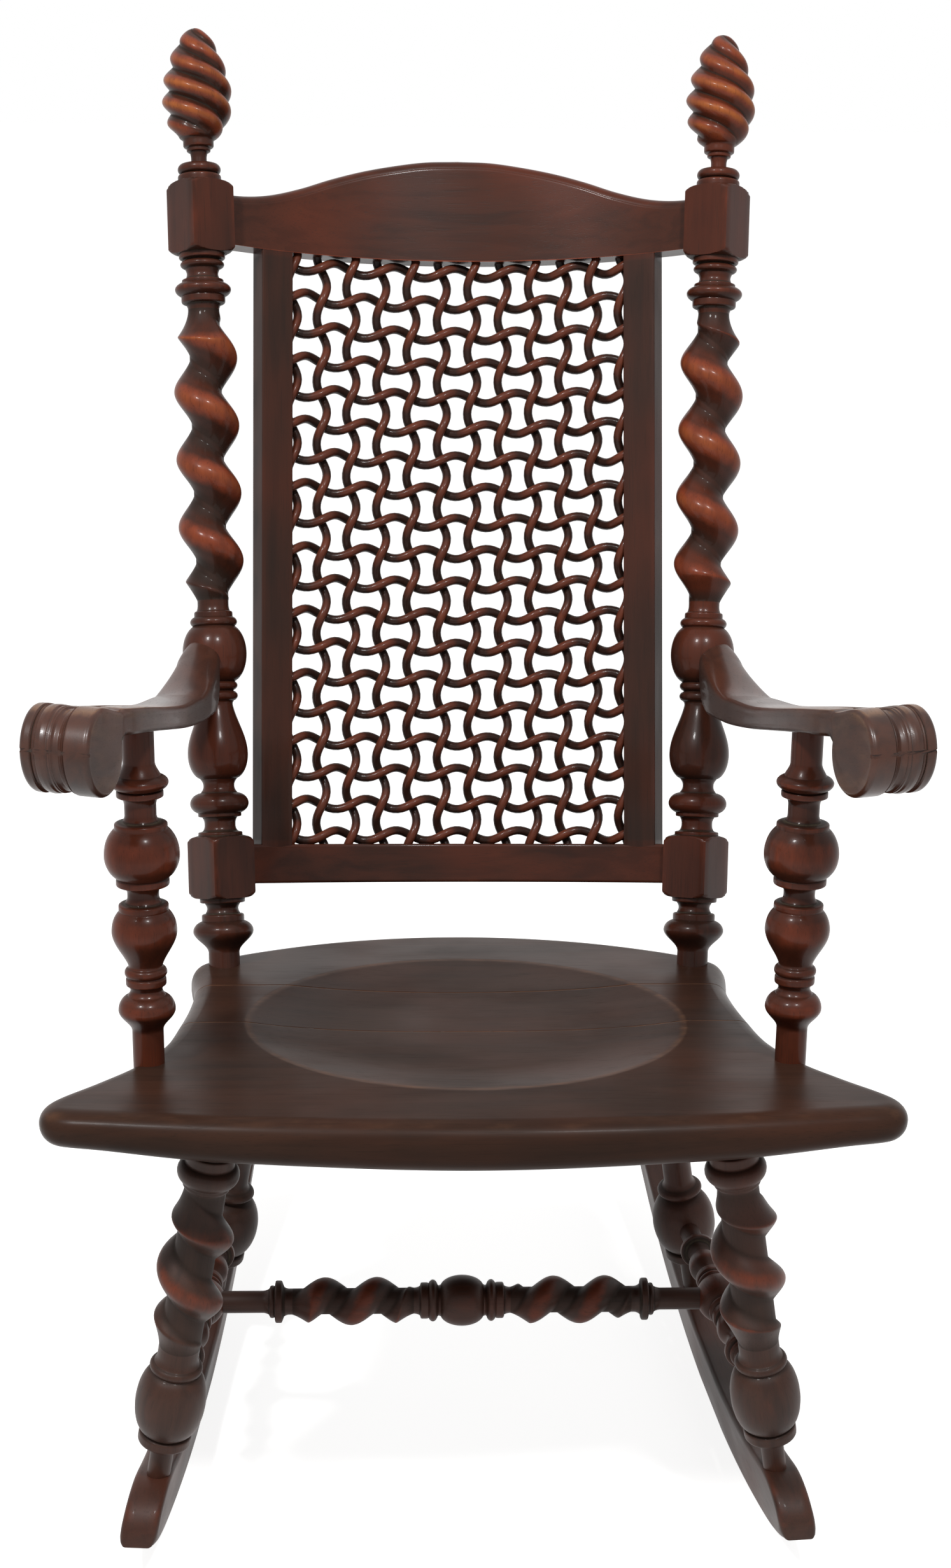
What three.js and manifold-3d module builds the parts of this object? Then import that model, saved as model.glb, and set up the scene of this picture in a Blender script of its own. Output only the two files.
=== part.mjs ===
// Rocking chair with turned posts and a woven lattice back.
// Millimetres, Z up. X runs to the viewer's right, Y to the back, and the sitter faces -Y.
import * as THREE from 'three';
import { mergeVertices } from 'three/addons/utils/BufferGeometryUtils.js';
import Module from 'manifold-3d';

const wasm = await Module();
wasm.setup();

const degree = Math.PI / 180;
const fullTurn = 2 * Math.PI;
const up = new THREE.Vector3(0, 0, 1);

// Sizes that several pieces share
const clearance = 0.3;
const overrun = 4;
const socketDepth = 14;
const tenonRadius = 9;
const smallestStep = 1;
const twistStepsPerTurn = 5;
const turnedSides = 9;
const rollSides = 18;
const dishSides = 32;
const slimSides = 8;

const seat = {
  height: 404.5,
  tilt: 5.26 * degree,
  thickness: 36,
  halfWidth: 327,
  frontReach: 264,
  rearReach: 271,
  frontRadius: 1688,
  rearRadius: 361,
  rounding: 11,
  dishRadius: 182,
  dishDepth: 9,
  frontJoint: -7,
  rearJoint: 101,
};

// Half of the seat's edge from the front corner to the rear arc, in shares of width and depth
const seatFrontShares = [-0.3, 0, 0.3, 0.6, 0.88];
const seatCornerShares = [[0.955, 0.058], [0.992, 0.078], [0.998, 0.112]];
const seatSideShares = [[0.985, 0.135], [0.9, 0.21], [0.82, 0.29], [0.76, 0.39], [0.735, 0.5],
  [0.718, 0.62], [0.718, 0.7], [0.733, 0.76], [0.73, 0.815]];
const seatRearShares = [0.64, 0.45, 0.22, 0];
// Halfway out the dish still has this share of its depth
const dishMiddleShares = [0.5, 0.75];
// Part of a rounded edge, and how far out a block's turned shoulders reach past its corners
const roundingShare = 0.3;
const shoulderShare = 1.1;

const post = {
  stileDistance: 20.95,
  back: 167.1,
  lean: 16.58 * degree,
  splay: 1.82 * degree,
  neck: 13.7,
  blockWidth: 42,
  blockTurn: 36.5 * degree,
  shoulder: 6,
  lowerBlock: { at: 87.1, half: 21 },
  upperBlock: { at: 668.5, half: 25 },
  ball: { at: 279, radius: 28.6, below: 25, above: 25 },
  turnings: {
    lowRing: { at: 29.7, radius: 26.5, below: 13, above: 14 },
    lowerCollar: { at: 57.5, radius: 21.6, below: 6, above: 10 },
    upperRing: { at: 144.3, radius: 26, below: 13, above: 13 },
    vase: { at: 190, radius: 26.9, below: 24, above: 44 },
    twinRing: { at: 245, radius: 19.8, below: 10, above: 10 },
    ballRing: { at: 306.6, radius: 20.8, below: 9, above: 10 },
    twistFoot: { at: 345, radius: 22.5, below: 20, above: 14 },
    twistHead: { at: 564, radius: 22.5, below: 14, above: 14 },
    headRing: { at: 605, radius: 24.8, below: 15, above: 12 },
    blockCollar: { at: 629, radius: 20.5, below: 9, above: 10 },
    drum: { at: 706, radius: 19.4, below: 16, above: 8 },
  },
  top: 713,
  twist: { from: 345, to: 564, radius: 21, offset: 7.5, pitch: 60.5, taper: 16 },
  twistStart: { left: 362.5, right: 390 },
};

const finial = {
  height: 123,
  radius: 29,
  stem: 7,
  lobeDepth: 3,
  lobes: 3,
  pitch: 60,
};
// Height and radius of the finial from its foot to its tip; it is plain below the lobe share
const finialShares = [[0, 0.26], [0.08, 0.26], [0.16, 0.46], [0.2, 0.6], [0.26, 0.82], [0.34, 0.95],
  [0.44, 1], [0.54, 1], [0.64, 0.94], [0.74, 0.78], [0.84, 0.63], [0.93, 0.43], [1, 0.12]];
const finialLobeShare = 0.2;

const back = {
  bowRadius: 388,
  railThickness: 22,
  lowerRailHeight: 34,
  lowerRailRise: 2,
  openingHeight: 545.3,
  crestEnd: 43,
  crestPeak: 88,
  arris: 3,
  railSteps: 16,
};
// Rise of the crest's top edge from its ends to its peak, over half its length from the middle
const crestRiseShares = [[0, 1], [0.14, 0.98], [0.28, 0.88], [0.42, 0.75], [0.56, 0.55], [0.7, 0.31],
  [0.84, 0.12], [1, 0]];

const stile = {
  width: 30,
  thickness: 22,
  grooveWidth: 17.6,
  grooveDepth: 5,
};

const lattice = {
  columns: 12,
  rows: 19,
  columnSpacing: 28.3,
  sideMargin: 4.3,
  endMargin: 9,
  rodRadius: 4,
  swing: 4.7,
};

const support = {
  edgeDistance: 73.4,
  front: 111.5,
  leanOut: 3.4,
  leanBack: 17.8,
  drawnLength: 265.3,
  neck: 12.4,
  turnings: {
    footRing: { at: 44, radius: 22, below: 16, above: 12 },
    twinRing: { at: 74, radius: 16.4, below: 12, above: 10 },
    vase: { at: 108, radius: 25.4, below: 28, above: 22 },
    lowerFlange: { at: 127, radius: 19.4, below: 7, above: 6 },
    ballFlange: { at: 148, radius: 20.7, below: 7, above: 8 },
    ball: { at: 170, radius: 29.2, below: 21, above: 20 },
    upperFlange: { at: 192, radius: 20.5, below: 9, above: 6 },
    topRing: { at: 226, radius: 21.9, below: 15, above: 12 },
  },
};

const arm = {
  height: 679.5,
  slope: 13 * degree,
  thickness: 20,
  rounding: 6,
  rollRadius: 31,
  rollLength: 60,
  rollSplay: 18 * degree,
  rollOut: 40.1,
  rollForward: 104.3,
  rollRise: 3.4,
  rearOut: 14.2,
  rearForward: 55.6,
  rearWidth: 41,
  neckRadius: 13,
  neckInset: 8,
};
// Middle line of the arm from its rear end to its roll, in shares of the spread and of the length
const armLineShares = [[0, 0, 0], [0.06, 0.12, 0.08], [0.19, 0.26, 0.16], [0.33, 0.42, 0.28],
  [0.47, 0.57, 0.46], [0.64, 0.72, 0.7], [0.84, 0.87, 0.92], [0.93, 0.94, 1]];

const rocker = {
  thickness: 30,
  depth: 48.6,
  bottomRadius: 1020,
  contact: 62,
  facet: 90,
  frontReach: 199,
  rearReach: 520,
  edgeDistance: 92.5,
  toeOut: 4.57 * degree,
  lean: 8 * degree,
  arris: 4,
  toeLength: 52,
  toeHump: 5,
  steps: 12,
};
const toeShares = [[0, 0.16], [0.16, 0.55], [0.4, 0.86], [0.7, 1]];

const frontLeg = {
  edgeDistance: 128.4,
  drawnLength: 318.5,
  top: -168.2,
  foot: -154.3,
  inset: 3.5,
  neck: 14,
  turnings: {
    topRing: { at: 40, radius: 22.7, below: 14, above: 13 },
    twistFoot: { at: 74, radius: 19, below: 12, above: 12 },
    twistHead: { at: 198, radius: 19, below: 12, above: 10 },
    lowerRing: { at: 219.6, radius: 20.5, below: 7, above: 8 },
  },
  disc: { at: 285, radius: 21.5, below: 7, above: 6 },
  ball: { at: 251, radius: 28.9, below: 24, above: 25 },
  twist: { from: 70, to: 200, radius: 20, offset: 8, pitch: 60, taper: 14 },
  twistStart: { left: 57, right: 57 },
};

const rearLeg = {
  edgeDistance: 151,
  drawnLength: 306.4,
  top: 150,
  foot: 181,
  inset: 2,
  neck: 13,
  turnings: {
    bulb: { at: 112, radius: 24, below: 60, above: 46 },
    ring: { at: 194, radius: 20.5, below: 9, above: 8 },
  },
  disc: { at: 263, radius: 21.5, below: 7, above: 6 },
  ball: { at: 229.5, radius: 28.9, below: 24, above: 25 },
};

const sideStretcher = {
  radius: 9,
  crossShare: 0.525,
  ball: { radius: 20, reach: 19 },
  ring: { radius: 13.5, reach: 7, place: 36 },
  bead: { radius: 14.5, reach: 9, place: 62 },
  flange: { radius: 16, reach: 7, place: 96 },
};

const crossStretcher = {
  neck: 11,
  shaft: 9.5,
  ball: { radius: 21.9, reach: 19 },
  ring: { radius: 18, reach: 7, place: 26 },
  shaftStart: 166,
  flange: { radius: 18, reach: 7, place: 159 },
  twist: { near: 50, far: 136, radius: 15, offset: 5.5, pitch: 45, taper: 12 },
  twistStart: { left: -119.6, right: 77.5 },
};

// Materials
function wood(name, color, roughness) {
  const material = new THREE.MeshStandardMaterial({ color, roughness, metalness: 0 });
  material.name = name;
  return material;
}

const frameWood = wood('frame_wood', 0x5a382c, 0.38);
const seatWood = wood('seat_wood', 0x4c392e, 0.32);
const latticeWood = wood('lattice_wood', 0x3a241e, 0.42);

// Solids
function flatRing(points) {
  const middle = points.reduce((sum, point) => sum.add(point), new THREE.Vector3());
  middle.divideScalar(points.length);
  const normal = new THREE.Vector3();
  points.forEach((point, index) => {
    const next = points[(index + 1) % points.length];
    normal.add(point.clone().sub(middle).cross(next.clone().sub(middle)));
  });
  const flat = new THREE.Quaternion().setFromUnitVectors(normal.normalize(), up);
  return points.map((point) => {
    const turned = point.clone().sub(middle).applyQuaternion(flat);
    return new THREE.Vector2(turned.x, turned.y);
  });
}

// Triangles across one ring of points, turned the same way as the ring.
function capFaces(points) {
  const flat = flatRing(points);
  return THREE.ShapeUtils.triangulateShape(flat, []).map(([a, b, c]) => {
    const area = THREE.ShapeUtils.area([flat[a], flat[b], flat[c]]);
    return area > 0 ? [a, b, c] : [a, c, b];
  });
}

function meshOf(points, faces) {
  const geometry = new THREE.BufferGeometry();
  geometry.setAttribute('position', new THREE.Float32BufferAttribute(points.flatMap((p) => [p.x, p.y, p.z]), 3));
  geometry.setIndex(faces);
  return geometry;
}

function signedVolume(points, faces) {
  let volume = 0;
  for (let corner = 0; corner < faces.length; corner += 3) {
    const [a, b, c] = [points[faces[corner]], points[faces[corner + 1]], points[faces[corner + 2]]];
    volume += a.dot(b.clone().cross(c));
  }
  return volume;
}

// A closed shape through rings that all have the same number of points.
function loft(rings) {
  const count = rings[0].length;
  const points = rings.flat();
  const last = (rings.length - 1) * count;
  const faces = [];
  for (let low = 0; low < last; low += count) {
    for (let side = 0; side < count; side += 1) {
      const next = (side + 1) % count;
      const high = low + count;
      faces.push(low + side, low + next, high + next, low + side, high + next, high + side);
    }
  }
  capFaces(rings[0]).forEach(([a, b, c]) => faces.push(a, c, b));
  capFaces(rings[rings.length - 1]).forEach(([a, b, c]) => faces.push(last + a, last + b, last + c));
  return signedVolume(points, faces) > 0 ? meshOf(points, faces) : meshOf(points, faces.reverse());
}

function solid(geometry) {
  const plain = geometry.clone();
  plain.deleteAttribute('normal');
  plain.deleteAttribute('uv');
  const merged = mergeVertices(plain);
  const vertProperties = new Float32Array(merged.attributes.position.array);
  const triVerts = new Uint32Array(merged.index.array);
  return new wasm.Manifold(new wasm.Mesh({ numProp: 3, vertProperties, triVerts }));
}

function shapeOf(body) {
  const mesh = body.getMesh();
  const geometry = new THREE.BufferGeometry();
  geometry.setAttribute('position', new THREE.Float32BufferAttribute(mesh.vertProperties, 3));
  geometry.setIndex(Array.from(mesh.triVerts));
  return geometry;
}

function joined(...shapes) {
  return shapeOf(shapes.map(solid).reduce((sum, body) => sum.add(body)));
}

function bored(shape, ...cutters) {
  return shapeOf(cutters.map(solid).reduce((left, cutter) => left.subtract(cutter), solid(shape)));
}

function common(shape, other) {
  return shapeOf(solid(shape).intersect(solid(other)));
}

// The shape of one place, seen from another place.
function inPlace(shape, from, to) {
  from.updateWorldMatrix(true, false);
  to.updateWorldMatrix(true, false);
  const matrix = to.matrixWorld.clone().invert().multiply(from.matrixWorld);
  return shape.clone().applyMatrix4(matrix);
}

function block(low, high) {
  const size = high.clone().sub(low);
  const shape = new THREE.BoxGeometry(size.x, size.y, size.z);
  const middle = low.clone().add(high).multiplyScalar(0.5);
  return shape.translate(middle.x, middle.y, middle.z);
}

// Turned work
const beadShares = [-1, -0.55, 0, 0.55, 1];
const ringShares = [-1, -0.35, 0.35, 1];
const longBeadShare = 1.4;

function beadHeights(bead) {
  const shares = bead.below + bead.above > longBeadShare * bead.radius ? beadShares : ringShares;
  return shares.map((share) => bead.at + share * (share < 0 ? bead.below : bead.above));
}

function beadRadius(bead, neck, height) {
  const reach = height < bead.at ? bead.below : bead.above;
  const share = Math.min(Math.abs(height - bead.at) / reach, 1);
  return neck + (bead.radius - neck) * Math.sqrt(1 - share * share);
}

function circle(height, radius, sides, offset = 0, angle = 0) {
  return Array.from({ length: sides }, (_, side) => {
    const turn = (side / sides) * fullTurn;
    return new THREE.Vector3(
      radius * Math.cos(turn) + offset * Math.cos(angle),
      radius * Math.sin(turn) + offset * Math.sin(angle),
      height,
    );
  });
}

// The same turning on a longer or shorter piece.
function stretchedBead(bead, stretch) {
  const { at, radius, below, above } = bead;
  return { at: at * stretch, radius, below: below * stretch, above: above * stretch };
}

function stretchedTwist(twist, stretch) {
  const { from, to, pitch, taper } = twist;
  return { ...twist, from: from * stretch, to: to * stretch, pitch: pitch * stretch, taper: taper * stretch };
}

function twistAt(twist, height, start) {
  const inside = Math.min((height - twist.from) / twist.taper, (twist.to - height) / twist.taper, 1);
  const share = Math.max(inside, 0);
  return { share, angle: (-fullTurn * (height - start)) / twist.pitch };
}

function twistHeights(twist) {
  const step = twist.pitch / twistStepsPerTurn;
  const count = Math.floor((twist.to - twist.from) / step);
  return Array.from({ length: count + 1 }, (_, index) => twist.from + index * step);
}

// Heights in order, without any that lie nearly on each other.
function inOrder(heights, from, to) {
  const inner = heights.filter((height) => height > from + smallestStep && height < to - smallestStep);
  const kept = [from];
  inner.sort((a, b) => a - b).forEach((height) => {
    if (height - kept[kept.length - 1] > smallestStep) {
      kept.push(height);
    }
  });
  return [...kept, to];
}

function turned({ neck, beads, from, to, sides, twist, start }) {
  const heights = beads.flatMap(beadHeights).concat(twist ? twistHeights(twist) : []);
  return loft(inOrder(heights, from, to).map((height) => {
    const radius = Math.max(neck, ...beads.map((bead) => beadRadius(bead, neck, height)));
    if (!twist) {
      return circle(height, radius, sides);
    }
    const { share, angle } = twistAt(twist, height, start);
    const wound = radius + (twist.radius - radius) * share;
    return circle(height, wound, sides, twist.offset * share, angle);
  }));
}

function peg(radius, from, to, sides) {
  return loft([circle(from, radius, sides), circle(to, radius, sides)]);
}

function placed(parent, position) {
  const place = new THREE.Group();
  place.position.copy(position);
  parent.add(place);
  return place;
}

// A place at one point whose Z axis aims at another point.
function aimed(parent, from, to) {
  const place = placed(parent, from);
  place.quaternion.setFromUnitVectors(up, to.clone().sub(from).normalize());
  return place;
}

function piece(place, name, shape, material) {
  const mesh = new THREE.Mesh(shape, material.clone());
  mesh.name = name;
  place.add(mesh);
  return mesh;
}

const sides = [{ name: 'left', sign: -1 }, { name: 'right', sign: 1 }];
const chair = new THREE.Group();

// Places
function onSeat(x, y, depth = 0) {
  const top = new THREE.Vector3(x, y, seat.height - y * Math.tan(seat.tilt));
  return top.addScaledVector(new THREE.Vector3(0, Math.sin(seat.tilt), Math.cos(seat.tilt)), -depth);
}

const seatPlace = placed(chair, onSeat(0, 0));
seatPlace.rotation.x = -seat.tilt;

const openingHalf = ((lattice.columns - 1) * lattice.columnSpacing) / 2 + lattice.sideMargin;
const postSpread = openingHalf + stile.width + post.stileDistance;

function postPlace(sign) {
  const place = placed(chair, onSeat(sign * postSpread, post.back));
  place.rotation.set(-post.lean, sign * post.splay, 0);
  return place;
}

function pointIn(place, local) {
  place.updateWorldMatrix(true, false);
  return place.localToWorld(local.clone());
}

// The height of a rocker's underside, which is flat for a short stretch where it rests.
function rockerSag(y) {
  const rise = ((y - rocker.contact) ** 2 - (rocker.facet / 2) ** 2) / (2 * rocker.bottomRadius);
  return Math.max(rise, 0);
}

// How far the middle of a rocker's underside lies from the chair's middle.
function rockerSpread(y) {
  const inner = seat.halfWidth - rocker.edgeDistance;
  return inner + rocker.thickness / 2 - y * Math.tan(rocker.toeOut);
}

// The middle of a rocker's top, above the floor at one distance from front to back.
function rockerTop(sign, y, inset) {
  const spread = rockerSpread(y) - rocker.depth * Math.tan(rocker.lean) - inset;
  return new THREE.Vector3(sign * spread, y, rockerSag(y) + rocker.depth);
}

function legPlace(leg, sign) {
  const top = onSeat(sign * (seat.halfWidth - leg.edgeDistance), leg.top, seat.thickness);
  const foot = rockerTop(sign, leg.foot, leg.inset);
  const place = aimed(chair, top, foot);
  const length = top.distanceTo(foot);
  const stretch = length / leg.drawnLength;
  place.userData.length = length;
  place.userData.stretch = stretch;
  place.userData.ball = pointIn(place, new THREE.Vector3(0, 0, leg.ball.at * stretch));
  return place;
}

const places = {};
sides.forEach(({ name, sign }) => {
  const foot = onSeat(sign * (seat.halfWidth - support.edgeDistance), -support.front);
  const topSpread = seat.halfWidth - support.edgeDistance + support.leanOut;
  const armSeat = new THREE.Vector3(sign * topSpread, support.leanBack - support.front, arm.height);
  const armPlace = placed(chair, armSeat);
  armPlace.rotation.x = -arm.slope;
  const frontLegPlace = legPlace(frontLeg, sign);
  const rearLegPlace = legPlace(rearLeg, sign);
  const stretcherPlace = aimed(chair, frontLegPlace.userData.ball, rearLegPlace.userData.ball);
  const stretcherLength = frontLegPlace.userData.ball.distanceTo(rearLegPlace.userData.ball);
  stretcherPlace.userData.length = stretcherLength;
  const crossAt = new THREE.Vector3(0, 0, stretcherLength * sideStretcher.crossShare);
  const restSpread = sign * rockerSpread(rocker.contact);
  const rockerPlace = placed(chair, new THREE.Vector3(restSpread, rocker.contact, 0));
  rockerPlace.rotation.z = sign * rocker.toeOut;
  places[name] = {
    sign,
    post: postPlace(sign),
    support: aimed(chair, foot, armSeat),
    supportLength: foot.distanceTo(armSeat),
    arm: armPlace,
    frontLeg: frontLegPlace,
    rearLeg: rearLegPlace,
    stretcher: stretcherPlace,
    crossPoint: pointIn(stretcherPlace, crossAt),
    rocker: rockerPlace,
  };
});
const crossPlace = aimed(chair, places.left.crossPoint, places.right.crossPoint);
const crossLength = places.left.crossPoint.distanceTo(places.right.crossPoint);

// The back panel stands between the posts and follows their splay.
function bowDepth(halfChord) {
  return back.bowRadius - Math.sqrt(back.bowRadius ** 2 - halfChord ** 2);
}

const lowerBlockPoint = pointIn(places.right.post, new THREE.Vector3(0, 0, post.lowerBlock.at));
const upperBlockPoint = pointIn(places.right.post, new THREE.Vector3(0, 0, post.upperBlock.at));
const blockRise = Math.hypot(upperBlockPoint.y - lowerBlockPoint.y, upperBlockPoint.z - lowerBlockPoint.z);
const panelLean = Math.atan((bowDepth(upperBlockPoint.x) - bowDepth(lowerBlockPoint.x)) / blockRise);
const panelPlace = placed(chair, new THREE.Vector3(0, lowerBlockPoint.y, lowerBlockPoint.z));
panelPlace.rotation.x = -post.lean - panelLean;
const bowCentre = bowDepth(lowerBlockPoint.x) - back.bowRadius;
const lowerRailBottom = back.lowerRailRise - back.lowerRailHeight / 2;
const openingBottom = lowerRailBottom + back.lowerRailHeight;
const openingTop = openingBottom + back.openingHeight;

// A point of the bowed panel: along its arc, up, and out from its middle surface to the back.
function onBow(along, height, out = 0) {
  const turn = along / back.bowRadius;
  const radius = back.bowRadius + out;
  return new THREE.Vector3(radius * Math.sin(turn), bowCentre + radius * Math.cos(turn), height);
}

// Seat
function seatOutline() {
  const depth = seat.frontReach + seat.rearReach;
  const front = seatFrontShares.map((share) => {
    const x = share * seat.halfWidth;
    return [x, -seat.frontReach + seat.frontRadius - Math.sqrt(seat.frontRadius ** 2 - x ** 2)];
  });
  const side = [...seatCornerShares, ...seatSideShares].map(([across, along]) => (
    [across * seat.halfWidth, along * depth - seat.frontReach]
  ));
  const rear = seatRearShares.map((share) => {
    const x = share * seat.halfWidth;
    return [x, seat.rearReach - seat.rearRadius + Math.sqrt(seat.rearRadius ** 2 - x ** 2)];
  });
  const half = [...front.filter(([x]) => x >= 0), ...side, ...rear];
  const mirror = half.filter(([x]) => x > 0).reverse().map(([x, y]) => [-x, y]);
  return [...half, ...mirror].map(([x, y]) => new THREE.Vector2(x, y));
}

// The outline moved inward by the same amount on every side.
function insetOutline(outline, inset) {
  return outline.map((point, index) => {
    const before = outline[(index + outline.length - 1) % outline.length];
    const after = outline[(index + 1) % outline.length];
    const along = after.clone().sub(before).normalize();
    return new THREE.Vector2(point.x - along.y * inset, point.y + along.x * inset);
  });
}

// A plate with rounded edges, from its outline and the heights of its two faces.
function roundedPlate(outline, bottom, top, rounding) {
  const edge = rounding * roundingShare;
  const levels = [[bottom, rounding], [bottom + edge, edge], [bottom + rounding, 0],
    [top - rounding, 0], [top - edge, edge], [top, rounding]];
  return loft(levels.map(([height, inset]) => (
    insetOutline(outline, inset).map((point) => new THREE.Vector3(point.x, point.y, height))
  )));
}

function dishCutter() {
  const rimRise = (overrun * 2 * seat.dishDepth) / seat.dishRadius;
  const profile = [
    new THREE.Vector2(0, -seat.dishDepth),
    new THREE.Vector2(seat.dishRadius * dishMiddleShares[0], -seat.dishDepth * dishMiddleShares[1]),
    new THREE.Vector2(seat.dishRadius, 0),
    new THREE.Vector2(seat.dishRadius + overrun, rimRise),
    new THREE.Vector2(0, rimRise),
  ];
  return new THREE.LatheGeometry(profile, dishSides).rotateX(Math.PI / 2);
}

function seatSockets() {
  return sides.flatMap(({ name }) => {
    const place = places[name];
    const down = -socketDepth - clearance;
    return [
      inPlace(peg(post.neck + clearance, down, overrun, turnedSides), place.post, seatPlace),
      inPlace(peg(support.neck + clearance, down, overrun, turnedSides), place.support, seatPlace),
      inPlace(peg(frontLeg.neck + clearance, down, overrun, turnedSides), place.frontLeg, seatPlace),
      inPlace(peg(rearLeg.neck + clearance, down, overrun, turnedSides), place.rearLeg, seatPlace),
    ];
  });
}

function buildSeat() {
  const plate = roundedPlate(seatOutline(), -seat.thickness, 0, seat.rounding);
  const whole = bored(plate, dishCutter(), ...seatSockets());
  const joint = clearance / 2;
  const reach = 2 * seat.halfWidth;
  const boards = [
    ['seat_front_board', -reach, seat.frontJoint - joint],
    ['seat_middle_board', seat.frontJoint + joint, seat.rearJoint - joint],
    ['seat_rear_board', seat.rearJoint + joint, reach],
  ];
  boards.forEach(([name, front, rear]) => {
    const low = new THREE.Vector3(-reach, front, -seat.thickness - overrun);
    const high = new THREE.Vector3(reach, rear, overrun);
    piece(seatPlace, name, common(whole, block(low, high)), seatWood);
  });
}

// Posts and finials
function squareBlock({ at, half }, grow = 0) {
  const width = post.blockWidth / 2 + grow;
  const low = new THREE.Vector3(-width, -width, at - half - post.shoulder - grow);
  const high = new THREE.Vector3(width, width, at + half + post.shoulder + grow);
  const corner = width * Math.SQRT2;
  const rings = [
    circle(low.z, width + grow, turnedSides),
    circle(at - half, corner * shoulderShare, turnedSides),
    circle(at + half, corner * shoulderShare, turnedSides),
    circle(high.z, width + grow, turnedSides),
  ];
  return common(block(low, high), loft(rings));
}

function postBlock(sign, spec, grow = 0) {
  return squareBlock(spec, grow).rotateZ(-sign * post.blockTurn);
}

function armSocket(place, grow) {
  return inPlace(armNeck(place, grow), place.arm, place.post);
}

function buildPost(name, place) {
  const shaft = turned({
    neck: post.neck,
    beads: [...Object.values(post.turnings), post.ball],
    from: -socketDepth,
    to: post.top,
    sides: turnedSides,
    twist: post.twist,
    start: post.twistStart[name],
  });
  const whole = joined(shaft, postBlock(place.sign, post.lowerBlock), postBlock(place.sign, post.upperBlock));
  const finialSocket = peg(finial.stem + clearance, post.top - socketDepth - clearance, post.top + overrun,
    turnedSides);
  piece(place.post, `back_post_${name}`, bored(whole, finialSocket, armSocket(place, clearance)), frameWood);
}

function finialRing(height, radius, depth) {
  const count = finial.lobes * 4;
  const angle = (-fullTurn * height) / finial.pitch;
  return Array.from({ length: count }, (_, side) => {
    const turn = (side / count) * fullTurn;
    const reach = radius - depth / 2 + (depth / 2) * Math.cos(finial.lobes * turn);
    return new THREE.Vector3(reach * Math.cos(turn + angle), reach * Math.sin(turn + angle), height);
  });
}

function buildFinial(name, place) {
  const rings = finialShares.map(([rise, wide]) => {
    const depth = rise < finialLobeShare ? 0 : finial.lobeDepth * wide;
    return finialRing(post.top + clearance + rise * finial.height, wide * finial.radius, depth);
  });
  const stem = peg(finial.stem, post.top - socketDepth, post.top + overrun, turnedSides);
  piece(place.post, `finial_${name}`, joined(loft(rings), stem), frameWood);
}

// Back panel
function bowedRail(half, steps, bottom, topAt) {
  const inner = -back.railThickness / 2;
  const outer = back.railThickness / 2;
  return loft(Array.from({ length: steps + 1 }, (_, step) => {
    const along = half * (1 - (2 * step) / steps);
    const top = topAt(Math.abs(along) / half);
    return [
      onBow(along, bottom, inner),
      onBow(along, bottom, outer),
      onBow(along, top - back.arris, outer),
      onBow(along, top, outer - back.arris),
      onBow(along, top, inner + back.arris),
      onBow(along, top - back.arris, inner),
    ];
  }));
}

function shareAt(shares, place) {
  const after = shares.findIndex(([at]) => at >= place);
  if (after <= 0) {
    return shares[Math.max(after, 0)][1];
  }
  const [lowAt, low] = shares[after - 1];
  const [highAt, high] = shares[after];
  return low + ((high - low) * (place - lowAt)) / (highAt - lowAt);
}

function panelCutters(spec) {
  return sides.map(({ name, sign }) => (
    inPlace(postBlock(sign, spec, clearance), places[name].post, panelPlace)
  ));
}

function buildRails() {
  const lowerHalf = back.bowRadius * Math.asin(lowerBlockPoint.x / back.bowRadius);
  const upperHalf = back.bowRadius * Math.asin(upperBlockPoint.x / back.bowRadius);
  const lower = bowedRail(lowerHalf, back.railSteps, lowerRailBottom, () => openingBottom);
  const crest = bowedRail(upperHalf, back.railSteps, openingTop, (share) => (
    openingTop + back.crestEnd + (back.crestPeak - back.crestEnd) * shareAt(crestRiseShares, share)
  ));
  piece(panelPlace, 'lower_rail', bored(lower, ...panelCutters(post.lowerBlock)), frameWood);
  piece(panelPlace, 'crest_rail', bored(crest, ...panelCutters(post.upperBlock)), frameWood);
}

function buildStile({ name, sign }) {
  const along = openingHalf + stile.width / 2;
  const height = back.openingHeight - 2 * clearance;
  const body = new THREE.BoxGeometry(stile.width, stile.thickness, height);
  const groove = new THREE.BoxGeometry(2 * stile.grooveDepth, stile.grooveWidth, height + overrun);
  groove.translate((-sign * stile.width) / 2, 0, 0);
  const place = placed(panelPlace, onBow(sign * along, openingBottom + back.openingHeight / 2));
  place.rotation.z = (-sign * along) / back.bowRadius;
  piece(place, `back_stile_${name}`, bored(body, groove), frameWood);
}

// Lattice of twisted rods: each rod swings to the front and to the back of the rods that it crosses.
function diamond(centre, along) {
  const front = new THREE.Vector3(0, -1, 0);
  const across = along.clone().cross(front).normalize();
  const out = across.clone().cross(along).normalize();
  return [out, across, out.clone().negate(), across.clone().negate()].map((side) => (
    centre.clone().addScaledVector(side, lattice.rodRadius)
  ));
}

// A rod through its points, cut square to its straight direction at both ends.
function rodThrough(points, startAxis, endAxis) {
  const last = points.length - 1;
  return loft(points.map((point, index) => {
    if (index === 0 || index === last) {
      return diamond(point, index === 0 ? startAxis : endAxis);
    }
    return diamond(point, points[index + 1].clone().sub(points[index - 1]).normalize());
  }));
}

const rowSpacing = (back.openingHeight - 2 * lattice.endMargin) / (lattice.rows - 1);

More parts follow.
